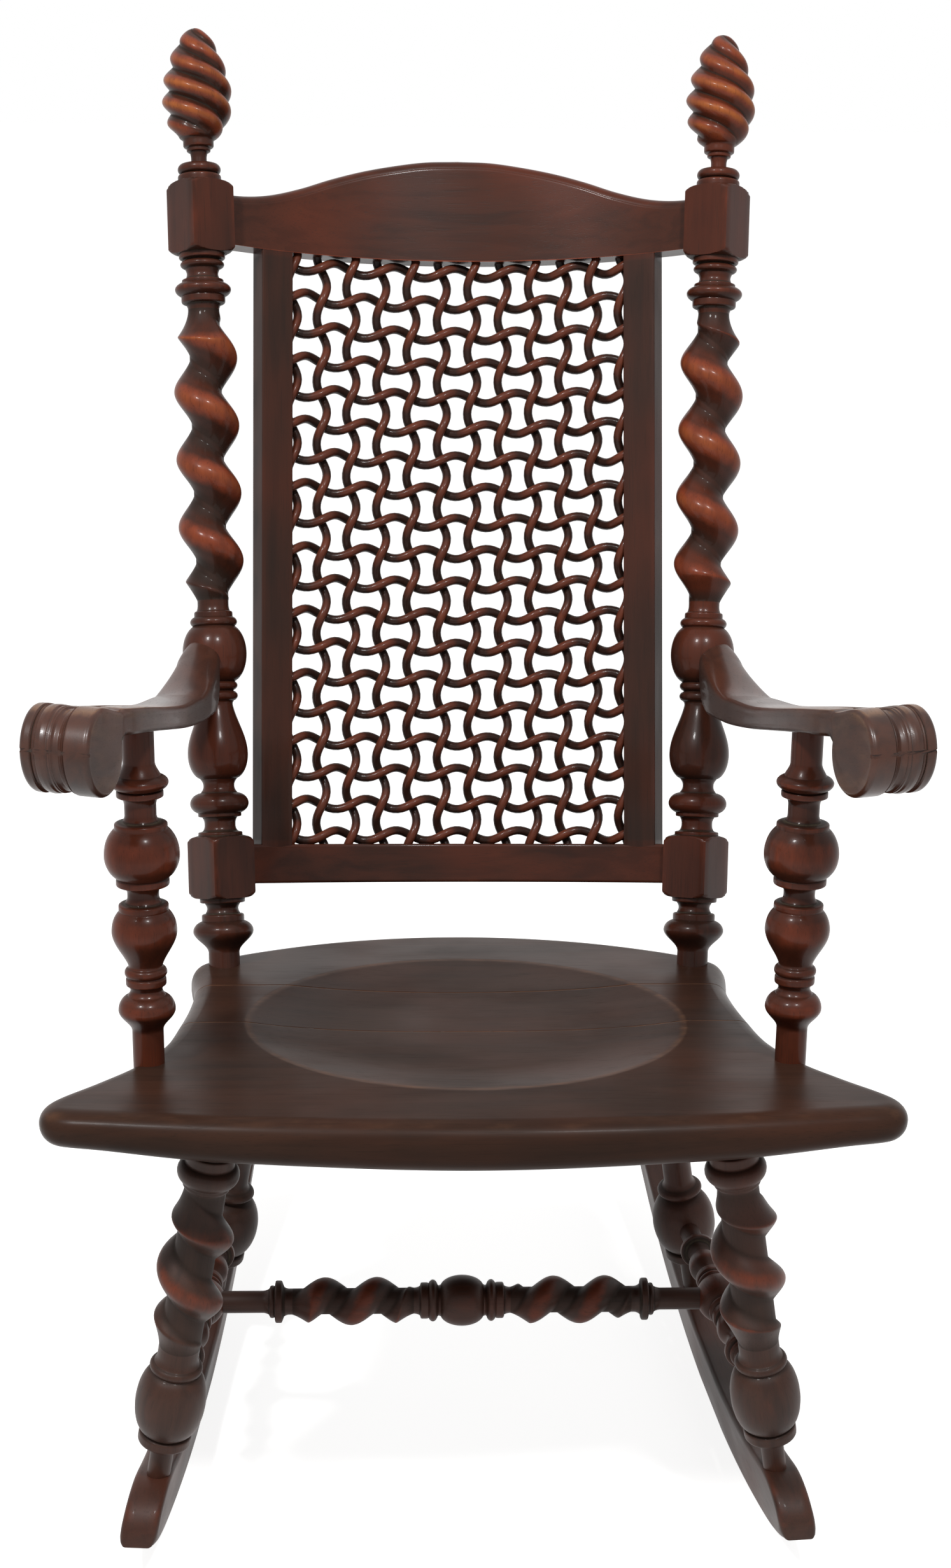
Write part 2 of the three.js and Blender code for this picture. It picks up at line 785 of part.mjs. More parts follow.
// Places along a rod at every crossing and halfway between, with both ends of the rod.
function rodStations(count, spacing, low, high) {
  const first = -((count - 1) * spacing) / 2;
  const stations = Array.from({ length: 2 * count - 1 }, (_, index) => ({
    at: first + (index * spacing) / 2,
    turn: index / 4,
  }));
  const before = { at: low, turn: (low - first) / (2 * spacing) };
  const after = { at: high, turn: (high - first) / (2 * spacing) };
  return [before, ...stations, after];
}

function columnRod(column) {
  const base = ((1 - lattice.columns) / 2 + column) * lattice.columnSpacing;
  const half = back.openingHeight / 2 - clearance;
  const phase = (column + lattice.rows) % 2 === 0 ? 0.5 : 0;
  const points = rodStations(lattice.rows, rowSpacing, -half, half).map(({ at, turn }) => {
    const angle = (turn + phase) * fullTurn;
    const across = base + lattice.swing * Math.sin(angle);
    return onBow(across, openingBottom + half + clearance + at, -lattice.swing * Math.cos(angle));
  });
  return rodThrough(points, up, up);
}

function bowTangent(along) {
  const turn = along / back.bowRadius;
  return new THREE.Vector3(Math.cos(turn), -Math.sin(turn), 0);
}

function rowRod(row) {
  const height = openingTop - lattice.endMargin - row * rowSpacing;
  const half = openingHalf + stile.grooveDepth - clearance;
  const phase = row % 2 === 0 ? 0.5 : 0;
  const stations = rodStations(lattice.columns, lattice.columnSpacing, -half, half);
  const points = stations.map(({ at, turn }) => {
    const angle = (turn + phase) * fullTurn;
    return onBow(at, height + lattice.swing * Math.sin(angle), -lattice.swing * Math.cos(angle));
  });
  return rodThrough(points, bowTangent(-half), bowTangent(half));
}

function buildLattice() {
  for (let column = 0; column < lattice.columns; column += 1) {
    piece(panelPlace, `lattice_upright_${column + 1}`, columnRod(column), latticeWood);
  }
  for (let row = 0; row < lattice.rows; row += 1) {
    piece(panelPlace, `lattice_level_${row + 1}`, rowRod(row), latticeWood);
  }
}

// Arms and their supports
function buildSupport(name, place) {
  const stretch = place.supportLength / support.drawnLength;
  const shape = turned({
    neck: support.neck,
    beads: Object.values(support.turnings).map((bead) => stretchedBead(bead, stretch)),
    from: -socketDepth,
    to: place.supportLength + socketDepth,
    sides: turnedSides,
  });
  piece(place.support, `arm_support_${name}`, shape, frameWood);
}

// The roll's axis, seen from the middle of the support's top.
function armRollCentre(place) {
  const rise = arm.thickness + arm.rollRise - arm.rollRadius;
  return new THREE.Vector3(place.sign * arm.rollOut, -arm.rollForward, rise);
}

function ballInArm(place) {
  return place.arm.worldToLocal(pointIn(place.post, new THREE.Vector3(0, 0, post.ball.at)));
}

// The rear end of the slab's middle line, a little in front of the post's ball.
function armRearPoint(place) {
  const ball = ballInArm(place);
  return new THREE.Vector3(ball.x + place.sign * arm.rearOut, ball.y - arm.rearForward, arm.thickness / 2);
}

// The arm's middle line in its own plane, with its half width at each point.
function armLine(place) {
  const roll = armRollCentre(place);
  const rear = armRearPoint(place);
  return armLineShares.map(([across, along, widening]) => ({
    x: rear.x + across * (roll.x - rear.x),
    y: rear.y + along * (roll.y - rear.y),
    half: (arm.rearWidth + widening * (arm.rollLength - arm.rearWidth)) / 2,
  }));
}

function armOutline(place) {
  const line = armLine(place);
  const edges = line.map((point, index) => {
    const before = line[Math.max(index - 1, 0)];
    const after = line[Math.min(index + 1, line.length - 1)];
    const along = new THREE.Vector2(after.x - before.x, after.y - before.y).normalize();
    return {
      one: new THREE.Vector2(point.x - along.y * point.half, point.y + along.x * point.half),
      other: new THREE.Vector2(point.x + along.y * point.half, point.y - along.x * point.half),
    };
  });
  const outline = [...edges.map((edge) => edge.one), ...edges.map((edge) => edge.other).reverse()];
  return THREE.ShapeUtils.area(outline) > 0 ? outline : outline.reverse();
}

function armRoll(place) {
  const roll = peg(arm.rollRadius, -arm.rollLength / 2, arm.rollLength / 2, rollSides);
  roll.rotateY(Math.PI / 2).rotateZ(place.sign * arm.rollSplay);
  const centre = armRollCentre(place);
  return roll.translate(centre.x, centre.y, centre.z);
}

// The round neck that runs from inside the slab into the ball of the post.
function armNeck(place, grow = 0) {
  const rear = armRearPoint(place);
  const ball = ballInArm(place);
  const run = ball.distanceTo(rear);
  const seated = run - post.ball.radius + socketDepth;
  const shape = peg(arm.neckRadius + grow, -arm.neckInset, seated + grow, turnedSides);
  const aim = new THREE.Quaternion().setFromUnitVectors(up, ball.sub(rear).normalize());
  return shape.applyQuaternion(aim).translate(rear.x, rear.y, rear.z);
}

function buildArm(name, place) {
  const slab = roundedPlate(armOutline(place), 0, arm.thickness, arm.rounding);
  const whole = joined(slab, armRoll(place), armNeck(place));
  const tenon = peg(support.neck + clearance, place.supportLength - overrun,
    place.supportLength + socketDepth + clearance, turnedSides);
  piece(place.arm, `arm_${name}`, bored(whole, inPlace(tenon, place.support, place.arm)), frameWood);
}

// Legs, stretchers and rockers
function buildLeg(name, part, leg, place, stretcherPeg) {
  const { length, stretch } = place.userData;
  const bodyEnd = (leg.disc.at + leg.disc.above) * stretch;
  const beads = [...Object.values(leg.turnings), leg.ball, leg.disc];
  const shape = turned({
    neck: leg.neck,
    beads: beads.map((bead) => stretchedBead(bead, stretch)),
    from: -socketDepth,
    to: bodyEnd,
    sides: turnedSides,
    twist: leg.twist && stretchedTwist(leg.twist, stretch),
    start: leg.twist ? leg.twistStart[name] * stretch : 0,
  });
  const tenon = peg(tenonRadius, bodyEnd - overrun, length + socketDepth, turnedSides);
  piece(place, `${part}_${name}`, bored(joined(shape, tenon), stretcherPeg), frameWood);
}

function mirroredBeads(middle, specs) {
  return specs.flatMap(({ radius, reach, place }) => [-1, 1].map((sign) => (
    { at: middle + sign * place, radius, below: reach, above: reach }
  )));
}

function buildSideStretcher(name, place) {
  const length = place.stretcher.userData.length;
  const middle = length * sideStretcher.crossShare;
  const { ball, ring, bead, flange } = sideStretcher;
  const shape = turned({
    neck: sideStretcher.radius,
    beads: [
      { at: middle, radius: ball.radius, below: ball.reach, above: ball.reach },
      ...mirroredBeads(middle, [ring, bead, flange]),
    ],
    from: frontLeg.ball.radius - socketDepth,
    to: length - rearLeg.ball.radius + socketDepth,
    sides: slimSides,
  });
  const cross = inPlace(crossPeg(clearance), crossPlace, place.stretcher);
  piece(place.stretcher, `side_stretcher_${name}`, bored(shape, cross), frameWood);
}

function sidePeg(place, legPlaceOf) {
  const length = place.stretcher.userData.length;
  const from = frontLeg.ball.radius - socketDepth - clearance;
  const to = length - rearLeg.ball.radius + socketDepth + clearance;
  const shape = peg(sideStretcher.radius + clearance, from, to, slimSides);
  return inPlace(shape, place.stretcher, legPlaceOf);
}

function crossPeg(grow) {
  const end = sideStretcher.ball.radius - socketDepth - grow;
  return peg(crossStretcher.shaft + grow, end, crossLength - end, slimSides);
}

function crossHalf(name, sign) {
  const middle = crossLength / 2;
  const { neck, shaft, ball, ring, flange, twist, twistStart, shaftStart } = crossStretcher;
  const spans = [[twist.near, twist.far], [-twist.far, -twist.near]];
  const [near, far] = sign > 0 ? spans[0] : spans[1];
  const shape = turned({
    neck,
    beads: [
      { at: middle, radius: ball.radius, below: ball.reach, above: ball.reach },
      ...mirroredBeads(middle, [ring, flange]),
    ],
    from: sign > 0 ? middle : middle - shaftStart,
    to: sign > 0 ? middle + shaftStart : middle,
    sides: slimSides,
    twist: { ...twist, from: middle + near, to: middle + far },
    start: middle + twistStart[name] + twist.pitch / 2,
  });
  return joined(shape, crossPeg(0));
}

function buildCrossStretcher() {
  const halves = sides.map(({ name, sign }) => crossHalf(name, sign));
  piece(crossPlace, 'cross_stretcher', joined(...halves), frameWood);
}

function rockerRing(sign, along) {
  const y = rocker.contact + along;
  const bottom = rockerSag(y);
  const fromToe = (y + rocker.frontReach) / rocker.toeLength;
  const fromHeel = (rocker.rearReach - y) / rocker.toeLength;
  const hump = rocker.toeHump * Math.max(1 - Math.abs(fromToe - 1), 0);
  const share = shareAt([...toeShares, [1, 1]], Math.min(fromToe, fromHeel, 1));
  const top = bottom + rocker.depth * share + hump;
  const half = rocker.thickness / 2;
  const point = (across, height) => (
    new THREE.Vector3(sign * (across - (height - bottom) * Math.tan(rocker.lean)), along, height)
  );
  return [
    point(-half, bottom),
    point(half, bottom),
    point(half, top - rocker.arris * share),
    point(half - rocker.arris, top),
    point(-half + rocker.arris, top),
    point(-half, top - rocker.arris * share),
  ];
}

function rockerStations() {
  const front = -rocker.frontReach - rocker.contact;
  const rear = rocker.rearReach - rocker.contact;
  const toe = toeShares.flatMap(([share]) => [front + share * rocker.toeLength, rear - share * rocker.toeLength]);
  const flat = [-rocker.facet / 2, rocker.facet / 2];
  const even = Array.from({ length: rocker.steps - 1 }, (_, step) => (
    front + ((step + 1) * (rear - front)) / rocker.steps
  ));
  return inOrder([...toe, ...flat, ...even], front, rear);
}

function buildRocker(name, place) {
  const board = loft(rockerStations().map((along) => rockerRing(place.sign, along)));
  const cutters = [place.frontLeg, place.rearLeg].map((leg) => {
    const length = leg.userData.length;
    const end = length + socketDepth + clearance;
    const shape = peg(tenonRadius + clearance, length - socketDepth, end, turnedSides);
    return inPlace(shape, leg, place.rocker);
  });
  piece(place.rocker, `rocker_${name}`, bored(board, ...cutters), frameWood);
}

// The whole chair
buildSeat();
buildRails();
sides.forEach(buildStile);
buildLattice();
sides.forEach(({ name }) => {
  const place = places[name];
  buildPost(name, place);
  buildFinial(name, place);
  buildSupport(name, place);
  buildArm(name, place);
  buildLeg(name, 'front_leg', frontLeg, place.frontLeg, sidePeg(place, place.frontLeg));
  buildLeg(name, 'rear_leg', rearLeg, place.rearLeg, sidePeg(place, place.rearLeg));
  buildSideStretcher(name, place);
  buildRocker(name, place);
});
buildCrossStretcher();

// The origin is the middle of the bounding box, at floor level.
chair.updateWorldMatrix(false, true);
const bounds = new THREE.Box3().setFromObject(chair, true);
const middle = bounds.getCenter(new THREE.Vector3());
chair.position.set(-middle.x, -middle.y, -bounds.min.z);
chair.updateWorldMatrix(false, true);

export default chair;
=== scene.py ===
"""Rocking chair with turned posts and a woven lattice back: its finished wood, its floor and its light."""
from math import asin, atan, cos, hypot, pi, radians, sin, sqrt, tan

import bmesh
import bpy
import numpy as np
from bpy.props import FloatProperty, FloatVectorProperty, IntProperty, PointerProperty
from mathutils import Matrix, Vector


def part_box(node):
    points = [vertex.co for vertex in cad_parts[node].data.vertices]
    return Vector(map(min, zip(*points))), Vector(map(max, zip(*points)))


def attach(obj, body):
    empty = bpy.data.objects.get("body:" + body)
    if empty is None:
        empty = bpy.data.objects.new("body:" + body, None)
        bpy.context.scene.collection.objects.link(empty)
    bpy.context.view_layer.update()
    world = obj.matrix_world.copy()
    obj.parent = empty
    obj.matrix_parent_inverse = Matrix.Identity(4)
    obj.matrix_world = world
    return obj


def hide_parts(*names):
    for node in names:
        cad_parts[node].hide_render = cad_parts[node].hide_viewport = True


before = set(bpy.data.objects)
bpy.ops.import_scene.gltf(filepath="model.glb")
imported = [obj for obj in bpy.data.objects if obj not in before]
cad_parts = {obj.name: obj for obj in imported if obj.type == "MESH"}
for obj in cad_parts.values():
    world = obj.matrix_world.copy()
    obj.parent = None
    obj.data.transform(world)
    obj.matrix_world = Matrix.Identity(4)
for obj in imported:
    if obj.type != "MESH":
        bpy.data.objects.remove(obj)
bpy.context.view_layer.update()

bl_info = {
    "name": "Lattice Back Rocking Chair",
    "version": (1, 0, 0),
    "blender": (4, 5, 0),
    "location": "3D View > Sidebar > Rocking Chair",
    "description": "Builds the finished pieces of a turned rocking chair and the floor it stands on",
    "category": "Add Mesh",
}

MILLIMETRE = 0.001
FULL_TURN = 2 * pi
SIDES = (("left", -1), ("right", 1))


# Property helpers
def length(label, millimetres, note):
    return FloatProperty(
        name=label, description=note, default=millimetres * MILLIMETRE, unit="LENGTH", precision=4)


def flare(label, reach, power):
    """How a turning spreads from its neck to the twist's ridge."""
    note = f"Length from the neck to the full ridge; it spreads as the power {power} of that length"
    return FloatVectorProperty(name=label, description=note, size=2, default=(reach * MILLIMETRE, power))


def angle(label, degrees, note):
    return FloatProperty(name=label, description=note, default=radians(degrees), subtype="ANGLE")


def share(label, value, note):
    return FloatProperty(name=label, description=note, default=value, subtype="FACTOR")


def count(label, value, note):
    return IntProperty(name=label, description=note, default=value, min=1)


def turning(label, at, radius, before, after):
    """A turned ring, ball, disc, vase or bulb along an axis."""
    note = "Place along the axis, radius, and reach before and after that place"
    values = [value * MILLIMETRE for value in (at, radius, before, after)]
    return FloatVectorProperty(
        name=label, description=note, size=4, default=values, unit="LENGTH", precision=4)


def colour(label, red, green, blue, note):
    """A colour given on the usual screen scale of 0 to 255."""
    linear = []
    for value in (red, green, blue):
        part = value / 255
        linear.append(part / 12.92 if part <= 0.04045 else ((part + 0.055) / 1.055) ** 2.4)
    return FloatVectorProperty(
        name=label, description=note, size=3, default=linear, subtype="COLOR", min=0, max=1)


# Sizes
class SeatSizes(bpy.types.PropertyGroup):
    height: length("Height", 404.5, "Top of the seat above the floor at its middle")
    tilt: angle("Tilt", 5.26, "Slope of the seat down to the back")
    thickness: length("Thickness", 36, "Thickness of the boards")
    front_reach: length("Front Reach", 264, "From the middle to the front edge")
    front_radius: length("Front Radius", 1688, "Radius of the front edge")
    rear_reach: length("Rear Reach", 271, "From the middle to the back edge")
    rear_radius: length("Rear Radius", 361, "Radius of the back edge")
    rounding: length("Rounding", 16, "Radius of the rounded edge")
    middle_swell: length("Middle Swell", 3.5, "How much thicker the front edge is in the middle")
    ear_taper: length("Ear Taper", 6.5, "How much thinner the front edge is at the ears")
    dish_radius: length("Dish Radius", 182, "Radius of the round hollow")
    dish_depth: length("Dish Depth", 9, "Depth of the round hollow")
    front_joint: length("Front Joint", -7, "Joint behind the front board")
    rear_joint: length("Rear Joint", 101, "Joint in front of the rear board")
    joint: length("Joint", 0.4, "Open width of a joint")
    joint_arris: length("Joint Arris", 0.7, "Width of the worn arris along a joint")


class PostSizes(bpy.types.PropertyGroup):
    spread: length("Spread", 210.9, "From the middle to a post's foot")
    back: length("Back", 167.1, "From the seat's middle back to a post's foot")
    lean: angle("Lean", 16.58, "Lean to the back")
    splay: angle("Splay", 1.82, "Lean to the side")
    top: length("Top", 713, "Length up to the finial")
    neck: length("Neck", 13.9, "Radius between the turnings")
    foot_bulb: turning("Foot Ring", 29.7, 27, 19, 10)
    foot_disc: turning("Foot Fillet", 41.5, 19, 4.2, 4)
    under_disc: turning("Fillet under the Lower Block", 57.5, 20.2, 2.6, 4)
    over_disc: turning("Fillet over the Lower Block", 116.6, 19.8, 4, 2.6)
    middle_ring: turning("Middle Ring", 144.3, 26.2, 9.5, 10)
    middle_disc: turning("Fillet under the Middle Ring", 134.6, 19.4, 2.6, 3)
    body_vase: turning("Vase", 188.6, 26.9, 22.5, 53.4)
    lower_ring: turning("Lower Twin Ring", 240.8, 19.6, 4.8, 4.6)
    upper_ring: turning("Upper Twin Ring", 250, 19.6, 4.6, 4.4)
    arm_ball: turning("Ball at the Arm", 279, 28.6, 26, 25.5)
    ball_ring: turning("Ring over the Ball", 306.8, 21, 5, 5.4)
    ball_disc: turning("Fillet over the Ball", 312.4, 17.2, 3, 4.4)
    head_disc: turning("Fillet under the Head Ring", 596.5, 19.6, 5, 3)
    head_ring: turning("Head Ring", 604.6, 25, 7, 6.4)
    cap_disc: turning("Fillet over the Head Ring", 611.6, 18.6, 2.4, 2)
    neck_ring: turning("Collar Ring", 626.8, 19.6, 3.6, 3.6)
    neck_disc: turning("Collar Disc", 634.6, 20.6, 3.4, 5)
    drum_disc: turning("Drum", 702.5, 19.3, 8, 4.6)
    drum_ring: turning("Ring over the Drum", 711.6, 19.2, 4.6, 5.2)
    block_width: length("Block Width", 44, "Width of the square blocks")
    block_turn: angle("Block Turn", 36.5, "Turn of the blocks towards the bowed back")
    block_round: length("Block Shoulder", 10, "Length of a block's rounded shoulder")
    lower_block: length("Lower Block", 87.1, "Middle of the lower block")
    lower_half: length("Lower Block Half", 28, "Half of the lower block's length")
    upper_block: length("Upper Block", 668.5, "Middle of the upper block")
    upper_half: length("Upper Block Half", 32, "Half of the upper block's length")
    twist_from: length("Twist Start", 326, "Where the lower flare begins")
    twist_to: length("Twist End", 587, "Where the upper flare ends")
    twist_low: length("Twist Hollow", 13.4, "Radius in the twist's hollow")
    twist_high: length("Twist Ridge", 28.6, "Radius on the twist's ridge")
    twist_pitch: length("Twist Pitch", 60.5, "Height of one turn")
    twist_fullness: share("Twist Fullness", 0.45, "How full the ridge is")
    lower_flare: flare("Lower Flare", 24, 1.15)
    upper_flare: flare("Upper Flare", 30, 1.85)
    left_start: length("Left Twist Phase", 362.5, "Where the left ridge passes the right side")
    right_start: length("Right Twist Phase", 390, "Where the right ridge passes the right side")


class FinialSizes(bpy.types.PropertyGroup):
    neck: length("Neck", 7, "Radius of the neck")
    cup_disc: turning("Cup", 735.5, 13.6, 4.6, 5)
    step_disc: turning("Step under the Cup", 730, 10.6, 2.6, 4)
    foot: length("Body Foot", 737.6, "Where the lobed body begins")
    tip: length("Tip", 838.4, "Where the lobed body ends")
    radius: length("Radius", 31.2, "Largest radius of the body")
    lobes: count("Lobes", 3, "Number of wound lobes")
    pitch: length("Pitch", 63.5, "Height of one turn of a lobe")
    depth: length("Groove Depth", 6.6, "Depth of the grooves between the lobes")
    left_phase: angle("Left Phase", 20, "Turn of the left finial")
    right_phase: angle("Right Phase", 50, "Turn of the right finial")


class BackSizes(bpy.types.PropertyGroup):
    bow_radius: length("Bow Radius", 388, "Radius of the bowed back")
    rail_thickness: length("Rail Thickness", 22, "Thickness of the rails")
    rail_foot: length("Lower Rail Foot", -15, "Bottom of the lower rail from the blocks' line")
    rail_top: length("Lower Rail Top", 20.3, "Top of the lower rail from the blocks' line")
    opening_foot: length("Opening Foot", 19, "Bottom of the opening")
    opening_top: length("Opening Top", 559.3, "Top of the opening")
    rail_round: length("Rail Rounding", 2.5, "Rounding of the lower rail's edges")
    crest_round: length("Crest Rounding", 8, "Height of the crest's rounded top")
    crest_arris: length("Crest Arris", 1, "Small step where the rounding begins")
    seated: length("Seated", 4, "How far a rail runs into a block")
    stile_inner: length("Stile Inner Edge", 160, "From the middle to a stile, along the bow")
    stile_width: length("Stile Width", 30, "Width of a stile")
    stile_thickness: length("Stile Thickness", 22, "Thickness of a stile")
    stile_round: length("Stile Rounding", 1.6, "Rounding of a stile's edges")
    groove_width: length("Groove Width", 17.6, "Width of the groove that holds the rods")
    groove_depth: length("Groove Depth", 5, "Depth of that groove")
    columns: count("Columns", 12, "Upright rods")
    rows: count("Rows", 19, "Level rods")
    column_spacing: length("Column Spacing", 28.3, "Between upright rods")
    end_margin: length("End Margin", 9, "From the rails to the first level rod")
    rod_radius: length("Rod Radius", 4.05, "Radius of a rod")
    swing: length("Swing", 4.7, "How far a rod swings round its line")


class SupportSizes(bpy.types.PropertyGroup):
    spread: length("Spread", 253.6, "From the middle to a support's foot")
    front: length("Front", 111.5, "From the seat's middle forward to a support's foot")
    top_spread: length("Top Spread", 257, "From the middle to a support's top")
    top_front: length("Top Front", 93.7, "From the middle forward to a support's top")
    top_height: length("Top Height", 679.5, "Underside of the arm above the floor")
    neck: length("Neck", 12.3, "Radius between the turnings")
    foot_bulb: turning("Foot Ring", 44, 22.3, 17, 12)
    foot_disc: turning("Fillet over the Foot Ring", 67, 15.8, 3.4, 3.4)
    waist_ring: turning("Waist Ring", 74.5, 16.6, 4.4, 4.4)
    body_bulb: turning("Body", 108, 25.4, 34, 19)
    body_disc: turning("Fillet over the Body", 127, 19.4, 3.4, 3.4)
    under_disc: turning("Fillet under the Ball", 147.4, 20.7, 3.4, 4)
    middle_ball: turning("Ball", 169, 29.2, 20.5, 24)
    over_disc: turning("Fillet over the Ball", 191.4, 20.6, 4, 3.6)
    top_disc: turning("Fillet under the Top Ring", 217.4, 18.2, 3.2, 3)
    top_ring: turning("Top Ring", 226.2, 22.3, 6.4, 6)
    top_vase: turning("Flare over the Top Ring", 228, 17.4, 6, 14)


class ArmSizes(bpy.types.PropertyGroup):
    slope: angle("Slope", 13, "Slope of the arm down to the back")
    thickness: length("Thickness", 20, "Thickness of the slab")
    rounding: length("Rounding", 4, "Radius of the slab's worn edges")
    crown: length("Crown", 1.6, "Rise of the slab's top along its middle")
    roll_radius: length("Roll Radius", 32.4, "Radius of the rolled front end")
    horn_start: length("Horn Start", 200, "Where the horn leaves the slab")
    horn_end: length("Horn End", 324, "Where the horn runs into the ball")
    horn_radius: length("Horn Radius", 13, "Radius of the horn at the ball")
    horn_out: length("Horn Out", 8, "Horn outward from the middle of the ball")
    horn_up: length("Horn Up", 3, "Horn above the middle of the ball")
    knuckle: length("Knuckle", 262, "Where the slab's underside turns up to the ball")


class LegSizes(bpy.types.PropertyGroup):
    spread: length("Spread", 198.6, "From the middle to a front leg's top")
    top: length("Top", -168.2, "Front leg's top from the middle of the seat")
    foot: length("Foot", -154.3, "Front leg's foot from the middle of the seat")
    inset: length("Inset", 3.5, "Foot inward from the rocker's middle")
    joint: length("Stretcher Joint", 251, "Where the side stretcher enters")
    neck: length("Neck", 16.4, "Radius between the turnings")
    seat_disc: turning("Fillet under the Seat", 24, 19.4, 5, 5)
    top_ring: turning("Top Ring", 36.4, 24.4, 8.4, 9)
    top_disc: turning("Fillet under the Top Ring", 46, 18.6, 3, 3.4)
    low_ring: turning("Low Ring", 213.6, 21.2, 4.4, 4.4)
    stretcher_ball: turning("Ball", 245.4, 28.2, 28.6, 29.4)
    low_disc: turning("Disc under the Ball", 279.6, 21.4, 5, 5)
    shaft: length("Shaft", 9.4, "Radius of the pin below the disc")
    shaft_start: length("Shaft Start", 285, "Where the pin begins")
    twist_from: length("Twist Start", 50, "Where the upper flare begins")
    twist_to: length("Twist End", 195, "Where the lower flare ends")
    twist_low: length("Twist Hollow", 12.4, "Radius in the twist's hollow")
    twist_high: length("Twist Ridge", 28.2, "Radius on the twist's ridge")
    twist_pitch: length("Twist Pitch", 58, "Height of one turn")
    twist_fullness: share("Twist Fullness", 0.45, "How full the ridge is")
    upper_flare: flare("Upper Flare", 34.5, 1.86)
    lower_flare: flare("Lower Flare", 33, 1.35)
    left_start: length("Left Twist Phase", 93, "Where the left ridge passes the right side")
    right_start: length("Right Twist Phase", 81, "Where the right ridge passes the right side")


class RearLegSizes(bpy.types.PropertyGroup):
    spread: length("Spread", 176, "From the middle to a rear leg's top")
    top: length("Top", 150, "Rear leg's top from the middle of the seat")
    foot: length("Foot", 181, "Rear leg's foot from the middle of the seat")
    inset: length("Inset", 2, "Foot inward from the rocker's middle")
    joint: length("Stretcher Joint", 229.5, "Where the side stretcher enters")
    neck: length("Neck", 13.2, "Radius between the turnings")
    seat_ring: turning("Ring under the Seat", 26, 20.5, 6, 6)
    seat_disc: turning("Fillet under that Ring", 34, 16.6, 3, 3.4)
    body_vase: turning("Body", 112, 24.5, 56, 58)
    body_ring: turning("Ring on the Body", 62, 18.6, 3.6, 3.6)
    low_ring: turning("Low Ring", 194, 20.6, 4.8, 4.8)
    stretcher_ball: turning("Ball", 229.5, 28.9, 29.5, 29.5)
    low_disc: turning("Disc under the Ball", 263, 21.2, 5, 5)
    shaft: length("Shaft", 8.9, "Radius of the pin below the disc")
    shaft_start: length("Shaft Start", 268, "Where the pin begins")


class StretcherSizes(bpy.types.PropertyGroup):
    side_radius: length("Side Radius", 9.2, "Radius of the side stretchers' ends")
    cross_share: share("Cross Share", 0.525, "Place of the cross stretcher, from the front leg")
    side_ball: turning("Side Ball", 0, 20.4, 19, 19)
    side_ring: turning("Side Ring", 24, 14.6, 4, 4)
    side_disc: turning("Side Disc", 34.5, 13.6, 4.4, 4.4)
    side_bulb: turning("Side Bulb", 58, 14.6, 15, 15)
    end_disc: turning("Side End Disc", 92.5, 16, 3.4, 3.4)
    end_ring: turning("Side End Ring", 99, 13, 4, 4)
    cross_neck: length("Cross Neck", 11.2, "Radius between the cross stretcher's turnings")
    cross_shaft: length("Cross Shaft", 9.5, "Radius of the cross stretcher's ends")
    shaft_start: length("Shaft Start", 167, "Where the plain ends begin")
    cross_ball: turning("Middle Ball", 0, 21.9, 19, 19)
    cross_ring: turning("Middle Ring", 25.4, 18, 4.4, 4.4)
    cross_disc: turning("Middle Fillet", 33, 15.6, 4.4, 3.6)
    cross_flange_disc: turning("End Flange", 159.6, 18.2, 3.8, 3.2)
    cross_flange_ring: turning("End Ring", 165, 14, 3, 3)
    twist_from: length("Twist Start", 42, "Where the inner flare begins")
    twist_to: length("Twist End", 148, "Where the outer flare ends")
    twist_low: length("Twist Hollow", 8.4, "Radius in the twist's hollow")
    twist_high: length("Twist Ridge", 20.6, "Radius on the twist's ridge")
    twist_pitch: length("Twist Pitch", 45, "Length of one turn")
    twist_fullness: share("Twist Fullness", 0.8, "How full the ridge is")
    twist_flare: flare("Flare", 17, 1.3)
    left_start: length("Left Twist Phase", -122.6, "Where the left half's ridge is on top")
    right_start: length("Right Twist Phase", 76.5, "Where the right half's ridge is on top")


class RockerSizes(bpy.types.PropertyGroup):
    thickness: length("Thickness", 30, "Thickness of a rocker")
    depth: length("Depth", 48.6, "Height of a rocker")
    bottom_radius: length("Bottom Radius", 1020, "Radius of the curved underside")
    contact: length("Contact", 62, "Where a rocker rests, from the seat's middle")
    facet: length("Facet", 90, "Length of the flat where it rests")
    front_reach: length("Front Reach", 206, "From the seat's middle to the front tip")
    rear_reach: length("Rear Reach", 520, "From the seat's middle to the rear tip")
    spread: length("Spread", 249.5, "From the middle to a rocker's underside at the seat's middle")
    toe_out: angle("Toe Out", 4.57, "Turn of a rocker out to the front")
    lean: angle("Lean", 8, "Lean of a rocker inward to the top")
    rounding: length("Rounding", 4, "Radius of the top edges")
    toe_length: length("Toe Length", 58, "Length of the rounded tip")
    toe_hump: length("Toe Hump", 2, "Rise behind the front tip")


